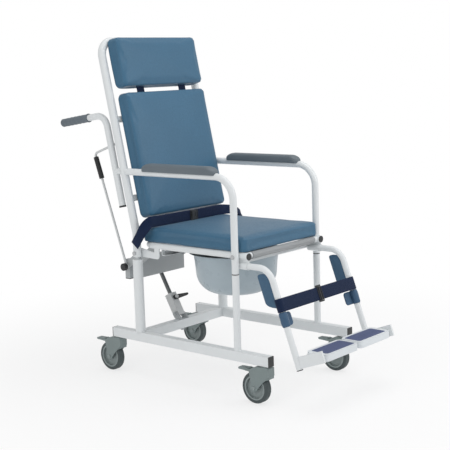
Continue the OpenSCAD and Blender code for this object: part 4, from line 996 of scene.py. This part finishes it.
def weld_bead(name, x, y, r, fat=1.5, sunk=0.3):
    """A painted weld: a small uneven ring round a post where it meets the rail."""
    where = put(x, y, RAIL_TOP)
    n, m = 96, 8
    verts = []
    for i in range(n):
        q = 2 * math.pi * i / n
        wave = 1 + 0.16 * math.sin(q * 17 + math.sin(q * 5)) + 0.08 * math.sin(q * 31)
        for j in range(m):
            w = 2 * math.pi * j / m
            rad = r - sunk + fat * wave * math.cos(w)
            verts.append(where @ Vector((rad * math.cos(q) * MM, rad * math.sin(q) * MM,
                                         fat * wave * math.sin(w) * MM)))
    obj = closed_object(name, verts, ring_faces(n, m, True), M["paint"])
    finish_piece(obj, "base", "frame_paint")


lap_fastener()
strap_slider()
for s, d in SIDES.items():
    weld_bead(f"weld_post_front_{d}", s * TRACK_X, FRONT_POST_Y, FRONT_POST_R)
    weld_bead(f"weld_post_rear_{d}", s * TRACK_X, PIVOT_Y, REAR_POST_R)

CASTER_Y = 357                          # the swivel axes, before and behind the middle
AXLE = (44.0, 55.0)                     # behind the swivel axis, and above the floor
PEDAL_PIN = (78.7, 115.1)
CHEEK_X, EAR_X, HEAD_X = 16.4, 12.9, 17.9       # from the fork's middle plane
SHEET_T, CROWN_W, FORK_TOP = 3.0, 31.0, 132.8
AXLE_HEAD = [(0, 0), (8.4, 0), (8.4, 0.7), (7.4, 1.1), (7.0, 1.1), (6.9, 3.2), (6.0, 3.9),
             (3.2, 3.9), (3.0, 3.5), (0, 3.4)]
RACE = [(0, 130), (17.5, 130), (18.6, 131), (18.6, 133.2), (17.8, 134), (14.4, 134.2),
        (14.0, 134.6), (13.4, 136.3), (12.4, 136.7), (6.0, 136.7), (6.0, 158), (5.2, 158.9),
        (0, 158.9)]


def caster_fork(end, side):
    """A pressed caster fork: cheeks that narrow to the axle, crown, race, ears and both pins."""
    corner, top = f"{end}_{SIDES[side]}", FORK_TOP
    home = put(side * TRACK_X, -CASTER_Y if end == "front" else CASTER_Y, 0)
    # local X to the back, local Y up
    upright = home @ Matrix(((0, 0, 1, 0), (1, 0, 0, 0), (0, 1, 0, 0), (0, 0, 0, 1)))

    def own(piece):
        finish_piece(piece, f"caster_{corner}", "caster_plastic", f"fork_{corner}")

    cheek = [(-20, top - 2), (-18, top), (24, top), (40, top - 3), (54, top - 9), (62, top - 15),
             (64.5, top - 22), (62, 100), (58.5, 88), (58, 76)]
    cheek += arc_points(*AXLE, 14.5, 15, -130, 10)
    cheek += [(20, 64), (4, 80), (-10, 93), (-18, 99), (-20.5, 104)]
    ear = arc_points(*PEDAL_PIN, 5, -80, 100, 8) + [(60, 117.5), (50, 119), (50, 113),
                                                    (58, 110.5)]
    for way in (-1, 1):
        tag = f"{corner}_{'in' if way * side < 0 else 'out'}"
        own(plate_piece(f"cheek_{tag}", upright @ shift(0, 0, way * CHEEK_X), cheek, [], SHEET_T,
                        M["caster"], 1.0))
        outward = home @ shift(way * HEAD_X, *AXLE) @ Matrix.Rotation(way * math.pi / 2, 4, "Y")
        own(lathe(f"axle_head_{tag}", AXLE_HEAD, outward, M["hub"], 6 if way < 0 else 40, 30))
        own(plate_piece(f"ear_{tag}", upright @ shift(0, 0, way * EAR_X), ear, [], SHEET_T,
                        M["caster"], 0.7))
    crown = [(-20, 94), (-20.4, top - 2), (-18.4, top), (24, top), (40, top - 3), (54, top - 9),
             (61, top - 15), (62.5, top - 20)] + arc_points(*AXLE, 58.4, 72, 146, 18)
    own(plate_piece(f"crown_{corner}", upright, crown, [], CROWN_W, M["caster"], 0.6))
    own(lathe(f"race_{corner}", RACE, home, M["caster"], 56, 35))
    pin = [(0, -15), (1.7, -15), (2, -14.6), (2, 14.6), (1.7, 15), (0, 15)]
    own(lathe(f"pedal_pin_{corner}", pin, home @ shift(0, *PEDAL_PIN) @ LIE_ACROSS, M["caster"],
              20, 40))
    bar = [(0, -17), (3.9, -17), (3.9, 17), (0, 17)]
    own(lathe(f"axle_{corner}", bar, home @ shift(0, *AXLE) @ LIE_ACROSS, M["caster"], 24, 40))


for e in ENDS:
    for s in SIDES:
        caster_fork(e, s)


def front_cover():
    """The grey cover strip clipped over the front rail of the seat, with a groove along it."""
    y, z, half_x = SEAT_FRONT_Y, SEAT_TUBE_Z, 181
    outer_r, inner_r, groove_d = 13.3, 12.25, 0.55
    rows, turns = 60, 24
    outer, inner = [], []
    for i in range(turns + 1):
        q = math.radians(105 + 190 * i / turns)
        groove = groove_d * math.exp(-((i - 13.2) / 0.9) ** 2)
        for arc, r in ((outer, outer_r - groove), (inner, inner_r)):
            arc.append((y + r * math.cos(q), z + r * math.sin(q)))
    section = outer + inner[::-1]
    n = len(section)
    verts = [at(-half_x + 2 * half_x * k / rows, *p) for k in range(rows + 1) for p in section]
    faces = ring_faces(rows + 1, n)
    for a in (0, rows * n):
        faces += [[a + i, a + i + 1, a + n - 2 - i, a + n - 1 - i] for i in range(turns)]
    obj = closed_object("front_cover", verts, faces, M["cover"])
    finish_piece(obj, "tilt_frame", "grey_paint")


front_cover()


# ---------------------------------------------------------------- stage and light
def make_floor():
    """A white ground with soft shadows that brightens into the plain background."""
    mat = bpy.data.materials.new("floor")
    mat.use_nodes = True
    t = Nodes(mat.node_tree)
    t.tree.nodes.clear()
    soft = t.add("ShaderNodeBsdfDiffuse", Color=(0.93, 0.93, 0.935, 1))
    glow = t.add("ShaderNodeEmission", Color=(1, 1, 1, 1))
    path = t.add("ShaderNodeLightPath").outputs
    away = t.add("ShaderNodeVectorMath", {"operation": "LENGTH"})
    t.put(away.inputs[0], t.add("ShaderNodeTexCoord").outputs["Object"])
    near, far, least = 0.55, 1.9, 0.7           # metres from the chair's middle; share of white
    fade = t.span(away.outputs["Value"], near, far, least, 1.0, "SMOOTHSTEP")
    seen = t.math("MAXIMUM", path["Is Camera Ray"], path["Is Glossy Ray"])
    seen = t.math("MAXIMUM", seen, path["Is Transmission Ray"])
    mixed = t.add("ShaderNodeMixShader")
    t.put(mixed.inputs[0], t.math("MULTIPLY", seen, fade))
    t.put(mixed.inputs[1], soft.outputs[0])
    t.put(mixed.inputs[2], glow.outputs[0])
    t.add("ShaderNodeOutputMaterial", Surface=mixed.outputs[0])
    half = 6.0
    floor = new_object("floor", [(-half, -half, 0), (half, -half, 0), (half, half, 0),
                                 (-half, half, 0)], [[0, 1, 2, 3]], mat, False)
    floor.location.z = -0.0004


def make_world():
    """White to the camera, and dimmer as a light."""
    world = bpy.data.worlds.new("world")
    bpy.context.scene.world = world
    world.use_nodes = True
    t = Nodes(world.node_tree)
    back = t.tree.nodes["Background"]
    path = t.add("ShaderNodeLightPath").outputs
    seen = t.math("MAXIMUM", path["Is Camera Ray"], path["Is Transmission Ray"])
    t.put(back.inputs["Strength"], t.span(seen, 0.0, 1.0, 0.62, 1.0))
    back.inputs["Color"].default_value = (1, 1, 1, 1)


def make_light(name, where, size, power_w, aim=(0, 0, 0.6)):
    """A soft lamp that looks at the chair's middle; places and sizes in metres."""
    data = bpy.data.lights.new(name, "AREA")
    data.shape = "RECTANGLE"
    data.size, data.size_y = size
    data.energy = power_w
    obj = bpy.data.objects.new(name, data)
    bpy.context.scene.collection.objects.link(obj)
    obj.location = where
    obj.rotation_euler = (Vector(aim) - Vector(where)).to_track_quat("-Z", "Y").to_euler()


make_floor()
make_world()
make_light("top", (0.3, -0.6, 3.4), (2.6, 2.6), 30)
make_light("front", (1.6, -2.9, 1.9), (1.8, 1.8), 22)
make_light("side", (-3.2, -0.4, 1.7), (1.6, 1.6), 12)

view = bpy.context.scene.view_settings
view.view_transform = "Standard"
